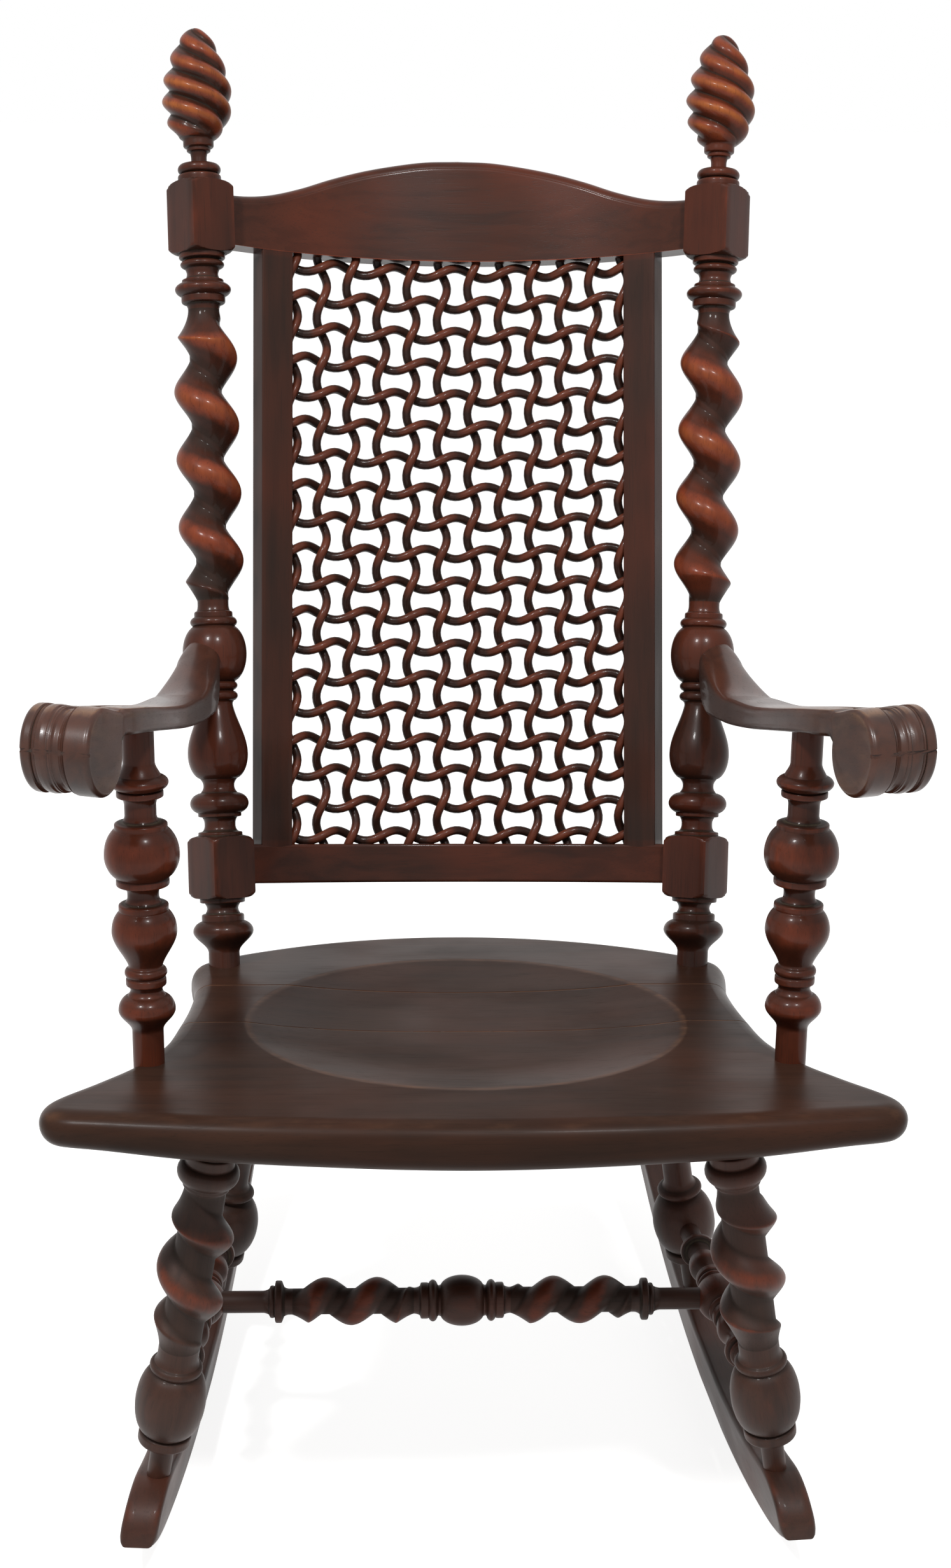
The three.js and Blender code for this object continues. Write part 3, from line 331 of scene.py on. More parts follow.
class WoodFinish(bpy.types.PropertyGroup):
    patina: colour("Patina", 63, 33, 23, "Even colour of the frame")
    dark_grain: colour("Dark Grain", 34, 20, 15, "Darker streaks and clouds in the frame")
    blush: colour("Red Blush", 98, 43, 25, "Redder clouds in the frame")
    rubbed: colour("Rubbed Edges", 116, 53, 33, "Colour where the frame is lightly rubbed")
    worn: colour("Worn Edges", 176, 104, 48, "Colour where hands have worn the frame through")
    # Grime in the grooves, and painted shade wherever a piece darkens its wear value
    grime: colour("Grime", 30, 23, 18, "Colour in the grooves")
    dust: colour("Dust", 74, 65, 52, "Pale dust in the deepest grooves")
    leg_patina: colour("Leg Patina", 60, 37, 28, "Even colour of the legs and rockers")
    leg_blush: colour("Leg Blush", 88, 45, 31, "Redder clouds in the legs and rockers")
    seat_patina: colour("Seat Patina", 54, 36, 28, "Even colour of the seat")
    seat_grain: colour("Seat Grain", 36, 25, 20, "Darker streaks in the seat")
    seat_blush: colour("Seat Blush", 68, 40, 29, "Redder clouds in the seat")
    # Wear in the seat's hollow, with painted light on the hollow's front slope and a painted highlight along
    # its rim
    seat_rubbed: colour("Seat Worn and Lit", 104, 72, 52, "Colour in the seat's hollow and on its rim")
    rod_patina: colour("Rod Patina", 46, 27, 21, "Even colour of the lattice rods")
    # Painted light on the front of the lattice rods
    rod_rubbed: colour("Rod Rubbed", 86, 42, 28, "Colour on the front of the lattice rods")
    # Painted highlight on the foremost parts of the rods
    rod_worn: colour("Rod Worn", 120, 60, 38, "Colour on the highest parts of the rods")
    arm_patina: colour("Arm Patina", 68, 39, 28, "Even colour of the arms")
    arm_blush: colour("Arm Blush", 86, 44, 30, "Redder clouds in the arms")
    # Wear where hands rest on the arms, together with painted sheen on their upward faces near the roll
    arm_rubbed: colour("Arm Rubbed", 126, 90, 62, "Colour where hands rest on the arms")
    gloss: share("Roughness", 0.29, "Roughness of the polished wood")


class StudioSizes(bpy.types.PropertyGroup):
    floor_width: length("Floor Width", 60000, "Width of the pale floor")
    floor_colour: colour("Floor Colour", 208, 207, 205, "Colour of the pale floor")
    floor_glow: share("Floor Glow", 0.86, "Light of the floor in the picture alone")
    room_light: share("Room Light", 0.3, "Even light from all sides")
    lamp_size: length("Lamp Size", 450, "Width and height of a lamp")
    left_lamp: FloatProperty(name="Left Lamp", description="Power of the left lamp in watts", default=92)
    right_lamp: FloatProperty(name="Right Lamp", description="Power of the right lamp in watts", default=78)
    camera_distance: length("Camera Distance", 1911.15, "Camera in front of the seat's middle")
    camera_height: length("Camera Height", 1195.06, "Camera above the floor")
    camera_side: length("Camera Side", -77.89, "Camera to the side of the middle")
    camera_yaw: angle("Camera Yaw", 2.49, "Turn of the camera to the right")
    camera_pitch: angle("Camera Pitch", 17.02, "Tilt of the camera down")
    camera_roll: angle("Camera Roll", 0.76, "Roll of the camera")
    sensor: length("Sensor", 36, "Long side of the sensor")
    lens: FloatProperty(name="Lens", description="Focal length in millimetres", default=56.64)


SIZE_GROUPS = {
    "chair_seat": SeatSizes,
    "chair_post": PostSizes,
    "chair_finial": FinialSizes,
    "chair_back": BackSizes,
    "chair_support": SupportSizes,
    "chair_arm": ArmSizes,
    "chair_front_leg": LegSizes,
    "chair_rear_leg": RearLegSizes,
    "chair_stretcher": StretcherSizes,
    "chair_rocker": RockerSizes,
    "chair_finish": WoodFinish,
    "chair_studio": StudioSizes,
}

# Half of the seat's edge, in millimetres: points of its side, and places across on its front and back arcs
SEAT_SIDE = (
    (305, -236.8), (316.5, -232.6), (323.6, -225), (326.8, -213), (325.6, -201), (319, -187),
    (294.3, -151.7), (268, -109), (249, -56), (240.5, 3.5), (235, 67), (234.6, 110), (238.4, 142),
    (240, 160), (239, 171.5), (235, 179.6),
)
SEAT_FRONT = (0, 60, 120, 180, 240, 282)
SEAT_REAR = (212, 180, 130, 80, 30, 0)
# Height of the crest's top edge over the panel's foot, by distance from the middle along the bow
CREST_LINE = (
    (0, 654.6), (30, 653.4), (60, 648.6), (90, 641.6), (120, 632), (150, 620.4), (180, 611.2), (205, 607),
    (240, 605.5),
)
# Inner and outer edge of the right arm from above, from the rear to the front
ARM_EDGES = (
    ((213, 196), (251, 196)), ((215.5, 150), (258.6, 150)), ((220, 100), (264.4, 100)),
    ((226, 20), (273.6, 20)), ((232, -50), (284.4, -45)), ((241, -111), (298, -98)),
    ((252.4, -156), (312.4, -142)),
)
# Ends of the roll's axis
ROLL_INNER = (268.6, -206.2, 695.5)
ROLL_OUTER = (320.0, -189.5, 695.5)
# Height of the slab's top and underside over its own plane, by the place along it
ARM_TOP = (
    (-90, 20.9), (-68.7, 20.7), (-22.3, 19.9), (40.8, 17.5), (112.9, 16.3), (194.1, 19.4), (245, 20),
    (360, 20),
)
ARM_UNDER = (
    (-90, 1), (-64.2, 1.1), (-18.1, 1.4), (44.9, -0.3), (117.2, -2.3), (199.2, -1.9), (249.4, 1.5),
    (360, 4),
)
# Depth cut into the roll, in millimetres, by the share of its length from the inner end
ROLL_CUTS = (
    (0, 0), (0.35, 0), (0.368, 1.5), (0.386, 0.5), (0.41, 2.4), (0.465, 3.8), (0.52, 2.7), (0.545, 1.2),
    (0.558, 2), (0.576, 0.9), (0.596, 0.9), (0.61, 2), (0.64, 0.5), (0.7, 0), (0.76, 0.4), (0.795, 1.5),
    (0.812, 0.6), (0.83, 1.7), (0.848, 0), (1, 0),
)
# Radius of a finial's lobed body from its foot to its tip, in shares of its height and widest radius
FINIAL_BODY = (
    (0, 0.42), (0.04, 0.6), (0.09, 0.75), (0.16, 0.88), (0.25, 0.965), (0.35, 1), (0.46, 0.985), (0.57, 0.92),
    (0.68, 0.8), (0.78, 0.68), (0.87, 0.53), (0.94, 0.35), (0.98, 0.2), (1, 0.03),
)
# Rings of the seat: shares of the way out to the hollow's rim, on to the rounded edge and in underneath
DISH_STEPS = (0.02, 0.12, 0.25, 0.38, 0.5, 0.6, 0.7, 0.78, 0.85, 0.9, 0.94, 0.97, 0.985)
FLAT_STEPS = (0, 0.03, 0.08, 0.15, 0.25, 0.37, 0.5, 0.63, 0.75, 0.85, 0.92, 0.96, 0.985)
UNDER_STEPS = (0.96, 0.85, 0.65, 0.4, 0.2, 0.03)
# How far a turned end runs into the seat or the arm, a post into its finial and a leg into its rocker
SOCKET = 6 * MILLIMETRE
FINIAL_SOCKET = 3 * MILLIMETRE
ROCKER_SOCKET = 8 * MILLIMETRE
# First seed of each kind of piece, for the part of the tree that its grain comes from
SEEDS = {
    "seat": 11, "back_post": 21, "finial": 31, "rail": 41, "back_stile": 43, "arm": 51, "arm_support": 53,
    "front_leg": 61, "rear_leg": 63, "side_stretcher": 71, "cross_stretcher": 73, "rocker": 81,
    "lattice_upright": 100, "lattice_level": 200,
}
# Faces that meet at more than this angle keep a sharp edge between them
SHARP_ANGLE = radians(40)


# Small tools
def vector(*millimetres):
    return Vector(millimetres) * MILLIMETRE


def turn_about(axis, turn):
    return Matrix.Rotation(turn, 4, axis)


def even_step(low, high, step):
    """Even places from low to high, about a step apart."""
    return np.linspace(low, high, max(int(round((high - low) / step)), 1) + 1)


def ease(value):
    """A smooth rise from nothing at zero to one at one."""
    value = np.clip(value, 0, 1)
    return value * value * (3 - 2 * value)


def smooth_line(points, step, closed=False):
    """Evenly spaced points on a smooth curve through the given points."""
    points = np.asarray(points, float)
    if closed:
        padded = np.vstack([points[-1], points, points[:2]])
    else:
        padded = np.vstack([2 * points[0] - points[1], points, 2 * points[-1] - points[-2]])
    gaps = np.sqrt(np.linalg.norm(np.diff(padded, axis=0), axis=1))
    dense = []
    for index in range(1, len(padded) - 2):
        start, end = padded[index], padded[index + 1]
        before, here, after = gaps[index - 1:index + 2]
        leave = (start - padded[index - 1]) / before - (end - padded[index - 1]) / (before + here)
        leave = (leave + (end - start) / here) * here
        reach = (end - start) / here - (padded[index + 2] - start) / (here + after)
        reach = (reach + (padded[index + 2] - end) / after) * here
        at = np.linspace(0, 1, 25)[:-1, None]
        dense.append(start * (1 + 2 * at) * (1 - at) ** 2 + leave * at * (1 - at) ** 2
            + end * at ** 2 * (3 - 2 * at) + reach * at ** 2 * (at - 1))
    dense = np.vstack([*dense, padded[-2][None]])
    along = np.concatenate([[0], np.cumsum(np.linalg.norm(np.diff(dense, axis=0), axis=1))])
    wanted = even_step(0, along[-1], step)
    if closed:
        wanted = wanted[:-1]
    return np.stack([np.interp(wanted, along, dense[:, axis]) for axis in range(dense.shape[1])], axis=1)


def aimed(start, end, sideways):
    """A place at the start with its Z axis to the end and its X axis near the sideways direction."""
    forward = (end - start).normalized()
    across = (sideways - forward * sideways.dot(forward)).normalized()
    matrix = Matrix((across, forward.cross(across), forward)).transposed().to_4x4()
    matrix.translation = start
    return matrix


# Places of the pieces, in the chair's own frame
def chair_place():
    """The chair's own frame in the shared one, found from the cross stretcher."""
    low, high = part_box("cross_stretcher")
    sizes = bpy.context.scene
    middle = (cross_point(sizes, -1) + cross_point(sizes, 1)) / 2
    return Matrix.Translation(Vector((0, (low[1] + high[1]) / 2 - middle.y, 0)))


def on_seat(seat, x, y, depth=0):
    """A point on the seat's sloping top, or at a depth square below it."""
    top = Vector((x, y, seat.height - y * tan(seat.tilt)))
    return top - Vector((0, sin(seat.tilt), cos(seat.tilt))) * depth


def seat_place(sizes):
    seat = sizes.chair_seat
    return Matrix.Translation(on_seat(seat, 0, 0)) @ turn_about("X", -seat.tilt)


def post_place(sizes, sign):
    post = sizes.chair_post
    foot = on_seat(sizes.chair_seat, sign * post.spread, post.back)
    return Matrix.Translation(foot) @ turn_about("X", -post.lean) @ turn_about("Y", sign * post.splay)


def support_top(sizes, sign):
    support = sizes.chair_support
    return Vector((sign * support.top_spread, -support.top_front, support.top_height))


def support_place(sizes, sign):
    support = sizes.chair_support
    foot = on_seat(sizes.chair_seat, sign * support.spread, -support.front)
    top = support_top(sizes, sign)
    return aimed(foot, top, Vector((1, 0, 0))), (top - foot).length


def arm_place(sizes, sign):
    return Matrix.Translation(support_top(sizes, sign)) @ turn_about("X", -sizes.chair_arm.slope)


def rocker_sag(rocker, y):
    """Height of a rocker's underside over the floor."""
    rise = ((y - rocker.contact) ** 2 - (rocker.facet / 2) ** 2) / (2 * rocker.bottom_radius)
    return np.maximum(rise, 0)


def rocker_spread(rocker, y):
    """From the middle to a rocker's underside, which runs outward to the front."""
    return rocker.spread - y * tan(rocker.toe_out)


def leg_place(sizes, leg, sign):
    rocker = sizes.chair_rocker
    top = on_seat(sizes.chair_seat, sign * leg.spread, leg.top, sizes.chair_seat.thickness)
    spread = rocker_spread(rocker, leg.foot) - rocker.depth * tan(rocker.lean) - leg.inset
    foot = Vector((sign * spread, leg.foot, float(rocker_sag(rocker, leg.foot)) + rocker.depth))
    return aimed(top, foot, Vector((1, 0, 0))), (foot - top).length


def ball_point(sizes, leg, sign):
    """Where the side stretcher enters a leg's ball."""
    place, _ = leg_place(sizes, leg, sign)
    return place @ Vector((0, 0, leg.joint))


def cross_point(sizes, sign):
    """Where the cross stretcher meets a side stretcher."""
    front = ball_point(sizes, sizes.chair_front_leg, sign)
    rear = ball_point(sizes, sizes.chair_rear_leg, sign)
    return front.lerp(rear, sizes.chair_stretcher.cross_share)


def bow_depth(back, half_chord):
    """Depth of the bow over a chord."""
    return back.bow_radius - sqrt(back.bow_radius ** 2 - half_chord ** 2)


def panel_place(sizes):
    """The bowed panel's place, its centre line and the half lengths of its rails along the bow."""
    back, post = sizes.chair_back, sizes.chair_post
    place = post_place(sizes, 1)
    lower = place @ Vector((0, 0, post.lower_block))
    upper = place @ Vector((0, 0, post.upper_block))
    rise = hypot(upper.y - lower.y, upper.z - lower.z)
    lean = post.lean + atan((bow_depth(back, upper.x) - bow_depth(back, lower.x)) / rise)
    panel = Matrix.Translation(Vector((0, lower.y, lower.z))) @ turn_about("X", -lean)
    centre = bow_depth(back, lower.x) - back.bow_radius
    halves = [back.bow_radius * asin(point.x / back.bow_radius) for point in (lower, upper)]
    return panel, centre, halves


def on_bow(back, centre, along, height, out=0):
    """Points on the bowed panel, or behind it, by place along the bow and height."""
    turn = along / back.bow_radius
    radius = back.bow_radius + out
    across, behind = radius * np.sin(turn), centre + radius * np.cos(turn)
    return np.stack(np.broadcast_arrays(across, behind, height), axis=-1)


# Meshes
def skin(rings):
    """Points and faces over rings in order along a piece, closed at both ends and turned outward."""
    total, sides = rings.shape[:2]
    index = np.arange(total * sides).reshape(total, sides)
    following = np.roll(index, -1, axis=1)
    quads = np.stack([index[:-1], following[:-1], following[1:], index[1:]], axis=-1).reshape(-1, 4)
    faces = [*quads.tolist(), index[0][::-1].tolist(), index[-1].tolist()]
    grid = rings - rings.mean(axis=(0, 1))
    aside = np.roll(grid, -1, axis=1)
    first, second, third, fourth = grid[:-1], aside[:-1], aside[1:], grid[1:]
    volume = np.einsum("ijk,ijk->", first, np.cross(second, third) + np.cross(third, fourth))
    if volume < 0:
        faces = [face[::-1] for face in faces]
    return rings.reshape(-1, 3), faces


def softened(points, edges, rounds):
    """The points after some rounds, in each of which they move halfway to the mean of their neighbours."""
    first, second = edges.T
    total = len(points)
    near = np.bincount(first, minlength=total) + np.bincount(second, minlength=total)
    soft = points.copy()
    for _ in range(rounds):
        pulled = []
        for values in soft.T:
            from_second = np.bincount(first, values[second], total)
            pulled.append(from_second + np.bincount(second, values[first], total))
        soft = (soft + np.stack(pulled, axis=1) / np.maximum(near, 1)[:, None]) / 2
    return soft


def read_rows(items, name, width, kind=float):
    values = np.empty(len(items) * width, kind)
    items.foreach_get(name, values)
    return values.reshape(-1, width)


def wear_and_light_marks(mesh, relief, rounds, rub, added_marks):
    """Half on plain faces, up to one on rubbed ridges and arrises and near nothing in grooves, plus any added
    marks, which on some pieces are painted light and shade.
    """
    points = read_rows(mesh.vertices, "co", 3)
    normals = read_rows(mesh.vertex_normals, "vector", 3)
    edges = read_rows(mesh.edges, "vertices", 2, np.int32)
    lift = ((points - softened(points, edges, rounds)) * normals).sum(axis=1)
    lift = np.clip(lift / relief, -1, 1)
    strength = rub(points) if callable(rub) else rub
    marks = 0.5 + np.where(lift > 0, lift * strength, lift) / 2
    return marks if added_marks is None else np.clip(marks + added_marks(points, normals), 0, 1)


def wood_mesh(name, rings, grain_axis, seed, *, relief=MILLIMETRE, rub=0, wear=None, rounds=10, added_marks=None):
    """A mesh over rings of points, with its grain along one of its axes and with its marks of wear and of
    painted light and shade.
    """
    points, faces = skin(rings)
    mesh = bpy.data.meshes.new(name)
    mesh.from_pydata(points.tolist(), [], faces)
    mesh.shade_smooth()
    marks = wear_and_light_marks(mesh, relief, rounds, rub, added_marks) if wear is None else wear
    # This value holds rubbing and grime and, on some pieces, painted light and shade
    mesh.attributes.new("wear", "FLOAT", "POINT").data.foreach_set("value", marks.astype(np.float32))
    order = ["XYZ".index(axis) for axis in "XYZ".replace(grain_axis, "") + grain_axis]
    shift = np.random.default_rng(seed).uniform(-5, 5, 3)
    grain = (points[:, order] + shift).astype(np.float32)
    mesh.attributes.new("grain", "FLOAT_VECTOR", "POINT").data.foreach_set("vector", grain.ravel())
    mesh.set_sharp_from_angle(angle=SHARP_ANGLE)
    return mesh


def add_piece(mesh, node, place, material):
    mesh.materials.append(material)
    piece = bpy.data.objects.new(node + "_wood", mesh)
    piece.matrix_world = chair_place() @ place
    bpy.context.scene.collection.objects.link(piece)
    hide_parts(node)
    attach(piece, "root")


# Turned work
TURNED_SUFFIXES = ("_ring", "_ball", "_disc", "_vase", "_bulb")


def turnings_of(sizes, *prefixes):
    """Name and values of every turning of a piece."""
    names = [name for name in type(sizes).__annotations__ if name.endswith(TURNED_SUFFIXES)]
    if prefixes:
        names = [name for name in names if name.startswith(prefixes)]
    return [(name, tuple(getattr(sizes, name))) for name in names]


def mirrored(turnings):
    """The turnings and their mirror images, but for the one in the middle."""
    images = [(name, (-at, radius, after, before)) for name, (at, radius, before, after) in turnings if at]
    return turnings + images


def turned_radius(turnings, neck, along):
    """The turnings on their neck, with a small cove at the foot of every bead."""
    cove_rise, cove_reach = 2.4 * MILLIMETRE, 5.5 * MILLIMETRE
    radius = np.array(np.broadcast_to(neck, along.shape), float)
    for name, (at, widest, before, after) in turnings:
        distance = np.abs(along - at)
        reach = np.where(along < at, before, after)
        off = np.clip(distance / reach, 0, 1)
        full = (1 - off ** 6) ** (1 / 3) if name.endswith("_disc") else np.sqrt(1 - off ** 2)
        ogee = np.zeros(along.shape, bool)
        if name.endswith("_vase"):
            ogee = along > at
        if name.endswith("_bulb"):
            ogee = along < at
        full = np.where(ogee, np.cos(off * pi / 2) ** 2, full)
        beyond = np.clip((distance - reach) / cove_reach, 0, 1)
        cove = np.clip((widest - neck) / 3, 0, cove_rise) * (1 - beyond) ** 2
        foot = neck + np.where(ogee, 0, cove)
        radius = np.maximum(radius, np.maximum(foot, neck + (widest - neck) * full))
    return radius


def turned_stations(turnings, low, high, step, least):
    """Places of the rings: even steps, and more near both ends of every turning."""
    shares = np.sin(np.linspace(0, pi / 2, 9))
    marks = [even_step(low, high, step)]
    for _, (at, _, before, after) in turnings:
        marks += [at - before * shares, at + after * shares]
    marks = np.sort(np.concatenate(marks))
    marks = marks[(marks >= low) & (marks <= high)]
    kept = [marks[0]]
    for mark in marks[1:]:
        if mark - kept[-1] > least:
            kept.append(mark)
    return np.array(kept)


def rope(turn, fullness):
    """One on a ridge and nothing in the hollow opposite; a fuller ridge leaves a narrower hollow."""
    hollow = 0.12
    rounded = (np.sqrt(np.cos(turn / 2) ** 2 + hollow ** 2) - hollow) / (sqrt(1 + hollow ** 2) - hollow)
    return (fullness * rounded + (1 - fullness) * np.cos(turn / 2) ** 2) ** (1.35 - 0.35 * fullness)


def spread_out(plain, high, distance, bell):
    """Radius of a flare, from the plain neck to the height of the ridge and beyond."""
    reach, power = bell
    return plain + (high - plain) * np.maximum(distance / reach, 0) ** power


def wound_radius(plain, along, turn, twist):
    """The plain turning with one twisted ridge, which runs out into the flares at its ends."""
    ridge = twist["low"] + (twist["high"] - twist["low"]) * rope(turn, twist["fullness"])
    entering = spread_out(plain, twist["high"], along - twist["from"], twist["enter"])
    leaving = spread_out(plain, twist["high"], twist["to"] - along, twist["leave"])
    flared = np.minimum(entering, leaving)
    blend = 0.7 * MILLIMETRE
    lower = (ridge + flared - np.sqrt((ridge - flared) ** 2 + blend ** 2)) / 2
    inside = (along > twist["from"]) & (along < twist["to"])
    return np.where(inside, np.maximum(lower, np.minimum(plain, flared)), plain)


def twist_angle(twist, along):
    """Where round the axis the ridge is, at each place along it."""
    return -FULL_TURN * (np.clip(along, twist["from"], twist["to"]) - twist["start"]) / twist["pitch"]


def around(along, radius, angles):
    """Rings of points round the Z axis."""
    heights = np.broadcast_to(along[:, None], radius.shape)
    return np.stack([radius * np.cos(angles), radius * np.sin(angles), heights], axis=-1)


def turned_angles(along, sides, base_turn, twists):
    """Angles of each ring's points, which follow a twist's ridge so that ridge and hollow stay crisp."""
    spacing = FULL_TURN / sides
    turn = np.full(len(along), float(base_turn))
    settled = float(base_turn)
    for twist in twists:
        inside = (along > twist["from"]) & (along < twist["to"])
        shift = round((twist_angle(twist, twist["from"]) - settled) / spacing) * spacing
        turn[inside] = twist_angle(twist, along[inside]) - shift
        last = twist_angle(twist, twist["to"]) - shift
        settled = base_turn + round((last - base_turn) / spacing) * spacing
        turn[along >= twist["to"]] = settled
    return turn[:, None] + np.arange(sides) * spacing


def twist_marks(twist, points, marks):
    """Painted shade in the twist's hollow, partly standing for grime there, and painted light rising towards
    its ridge, over the marks that the turning has.
    """
    hollow_tone, ridge_lift, ridge_share = -0.25, 0.3, 0.9
    out = (np.hypot(points[:, 0], points[:, 1]) - twist["low"]) / (twist["high"] - twist["low"])
    inside = (points[:, 2] > twist["from"]) & (points[:, 2] < twist["to"])
    # Painted shade in the hollow and painted light towards the ridge
    return np.where(inside, ridge_lift * ease(out / ridge_share) + hollow_tone + marks / 2, marks)


def turned_piece(node, place, turnings, neck, low, high, material, seed, *, sides=40, step=1.6, twists=(),
        radius_at=None, base_turn=0, relief=1.1, rub=0.35):
    """Turn one piece; its step between rings and the relief that its rubbing follows are in millimetres."""
    along = turned_stations(turnings, low, high, step * MILLIMETRE, least=0.3 * MILLIMETRE)
    angles = turned_angles(along, sides, base_turn, twists)
    heights = along[:, None]
    plain = turned_radius(turnings, neck(heights) if callable(neck) else neck, heights)
    radius = np.array(np.broadcast_to(plain, angles.shape))
    for twist in twists:
        radius = wound_radius(radius, heights, angles - twist_angle(twist, heights), twist)
    if radius_at is not None:
        radius = radius_at(radius, heights, angles)

    def shaded(points, normals):
        """Darker on the shoulders, and given the twists' painted shade and light."""
        marks = -0.16 * ease((np.abs(normals[:, 2]) - 0.3) / 0.5)
        for twist in twists:
            marks = twist_marks(twist, points, marks)
        return marks

    mesh = wood_mesh(node + "_turned", around(along, radius, angles), "Z", seed, relief=relief * MILLIMETRE,
        rub=rub, added_marks=shaded)
    add_piece(mesh, node, place, material)


def twist_of(sizes, sign, enter, leave):
    """A twist's measures on the left or right side, with the flares in which it begins and ends."""
    measures = ("from", "to", "low", "high", "pitch", "fullness")
    twist = {name: getattr(sizes, "twist_" + name) for name in measures}
    start = sizes.left_start if sign < 0 else sizes.right_start
    return {**twist, "start": start, "enter": enter, "leave": leave}


# Woods
WOOD_SHADES = ("Patina", "Dark Grain", "Blush", "Rubbed", "Worn", "Grime", "Dust")


def new_group(name, inputs, outputs):
    group = bpy.data.node_groups.new(name, "ShaderNodeTree")
    for label, kind, value in inputs:
        socket = group.interface.new_socket(label, in_out="INPUT", socket_type=kind)
        if value is not None:
            socket.default_value = value
    for label, kind in outputs:
        group.interface.new_socket(label, in_out="OUTPUT", socket_type=kind)
    return group


def add_node(tree, kind, **settings):
    node = tree.nodes.new(kind)
    for name, value in settings.items():
        setattr(node, name, value)
    return node


def stretched_noise(tree, grain, *, stretch, scale, detail, distortion=0.0):
    """Noise drawn out along the grain."""
    mapping = add_node(tree, "ShaderNodeMapping")
    mapping.inputs["Scale"].default_value = (1, 1, stretch)
    tree.links.new(grain, mapping.inputs["Vector"])
    noise = add_node(tree, "ShaderNodeTexNoise")
    noise.inputs["Scale"].default_value = scale
    noise.inputs["Detail"].default_value = detail
    noise.inputs["Distortion"].default_value = distortion
    tree.links.new(mapping.outputs["Vector"], noise.inputs["Vector"])
    return noise.outputs["Fac"]


def remapped(tree, value, low, high, to_low=0.0, to_high=1.0):
    """The value's way from low to high, spread smoothly over another range."""
    node = add_node(tree, "ShaderNodeMapRange", interpolation_type="SMOOTHSTEP")
    for name, number in (("From Min", low), ("From Max", high), ("To Min", to_low), ("To Max", to_high)):
        node.inputs[name].default_value = number
    tree.links.new(value, node.inputs["Value"])
    return node.outputs["Result"]


def combined(tree, operation, first, second):
    """Arithmetic with two values, each a number or an output."""
    node = add_node(tree, "ShaderNodeMath", operation=operation)
    for socket, value in zip(node.inputs, (first, second)):
        if isinstance(value, (int, float)):
            socket.default_value = value
        else:
            tree.links.new(value, socket)
    return node.outputs[0]


def scaled(tree, mask, amount):
    return combined(tree, "MULTIPLY", mask, amount)


def blended(tree, amount, first, second):
    node = add_node(tree, "ShaderNodeMix", data_type="RGBA")
    tree.links.new(amount, node.inputs["Factor"])
    tree.links.new(first, node.inputs["A"])
    tree.links.new(second, node.inputs["B"])
    return node.outputs["Result"]


def grain_masks(tree, grain):
    """Dark streaks, dark clouds, red clouds, open pores and fine specks."""
    streaks = stretched_noise(tree, grain, stretch=0.07, scale=85, detail=5, distortion=0.6)
    clouds = stretched_noise(tree, grain, stretch=0.5, scale=15, detail=4)
    reds = stretched_noise(tree, grain, stretch=0.7, scale=9, detail=3)
    pores = stretched_noise(tree, grain, stretch=0.035, scale=900, detail=2)
    specks = stretched_noise(tree, grain, stretch=0.4, scale=110, detail=6)
    return (
        remapped(tree, streaks, 0.38, 0.66), remapped(tree, clouds, 0.36, 0.68),
        remapped(tree, reds, 0.38, 0.74), remapped(tree, pores, 0.56, 0.7), specks,
    )


def wear_and_light_masks(tree, wear, clouds, specks):
    """Lightly rubbed places, worn places, grooves, and the deepest grooves, where dust lies; the first two
    also take painted light, and the grooves' mask also takes painted shade.
    """
    uneven = combined(tree, "ADD", wear, scaled(tree, combined(tree, "SUBTRACT", specks, 0.5), 0.12))
    patchy = remapped(tree, specks, 0.34, 0.64, 0.7, 1.0)
    light = combined(tree, "MULTIPLY", remapped(tree, uneven, 0.53, 0.72), patchy)
    between_clouds = remapped(tree, clouds, 0.0, 1.0, 1.0, 0.6)
    strong = combined(tree, "MULTIPLY", remapped(tree, uneven, 0.68, 0.98), between_clouds)
    sunk = remapped(tree, wear, 0.46, 0.26)
    scattered = remapped(tree, specks, 0.34, 0.6, 0.2, 0.85)
    deep = combined(tree, "MULTIPLY", remapped(tree, wear, 0.3, 0.06), scattered)
    return light, strong, sunk, deep


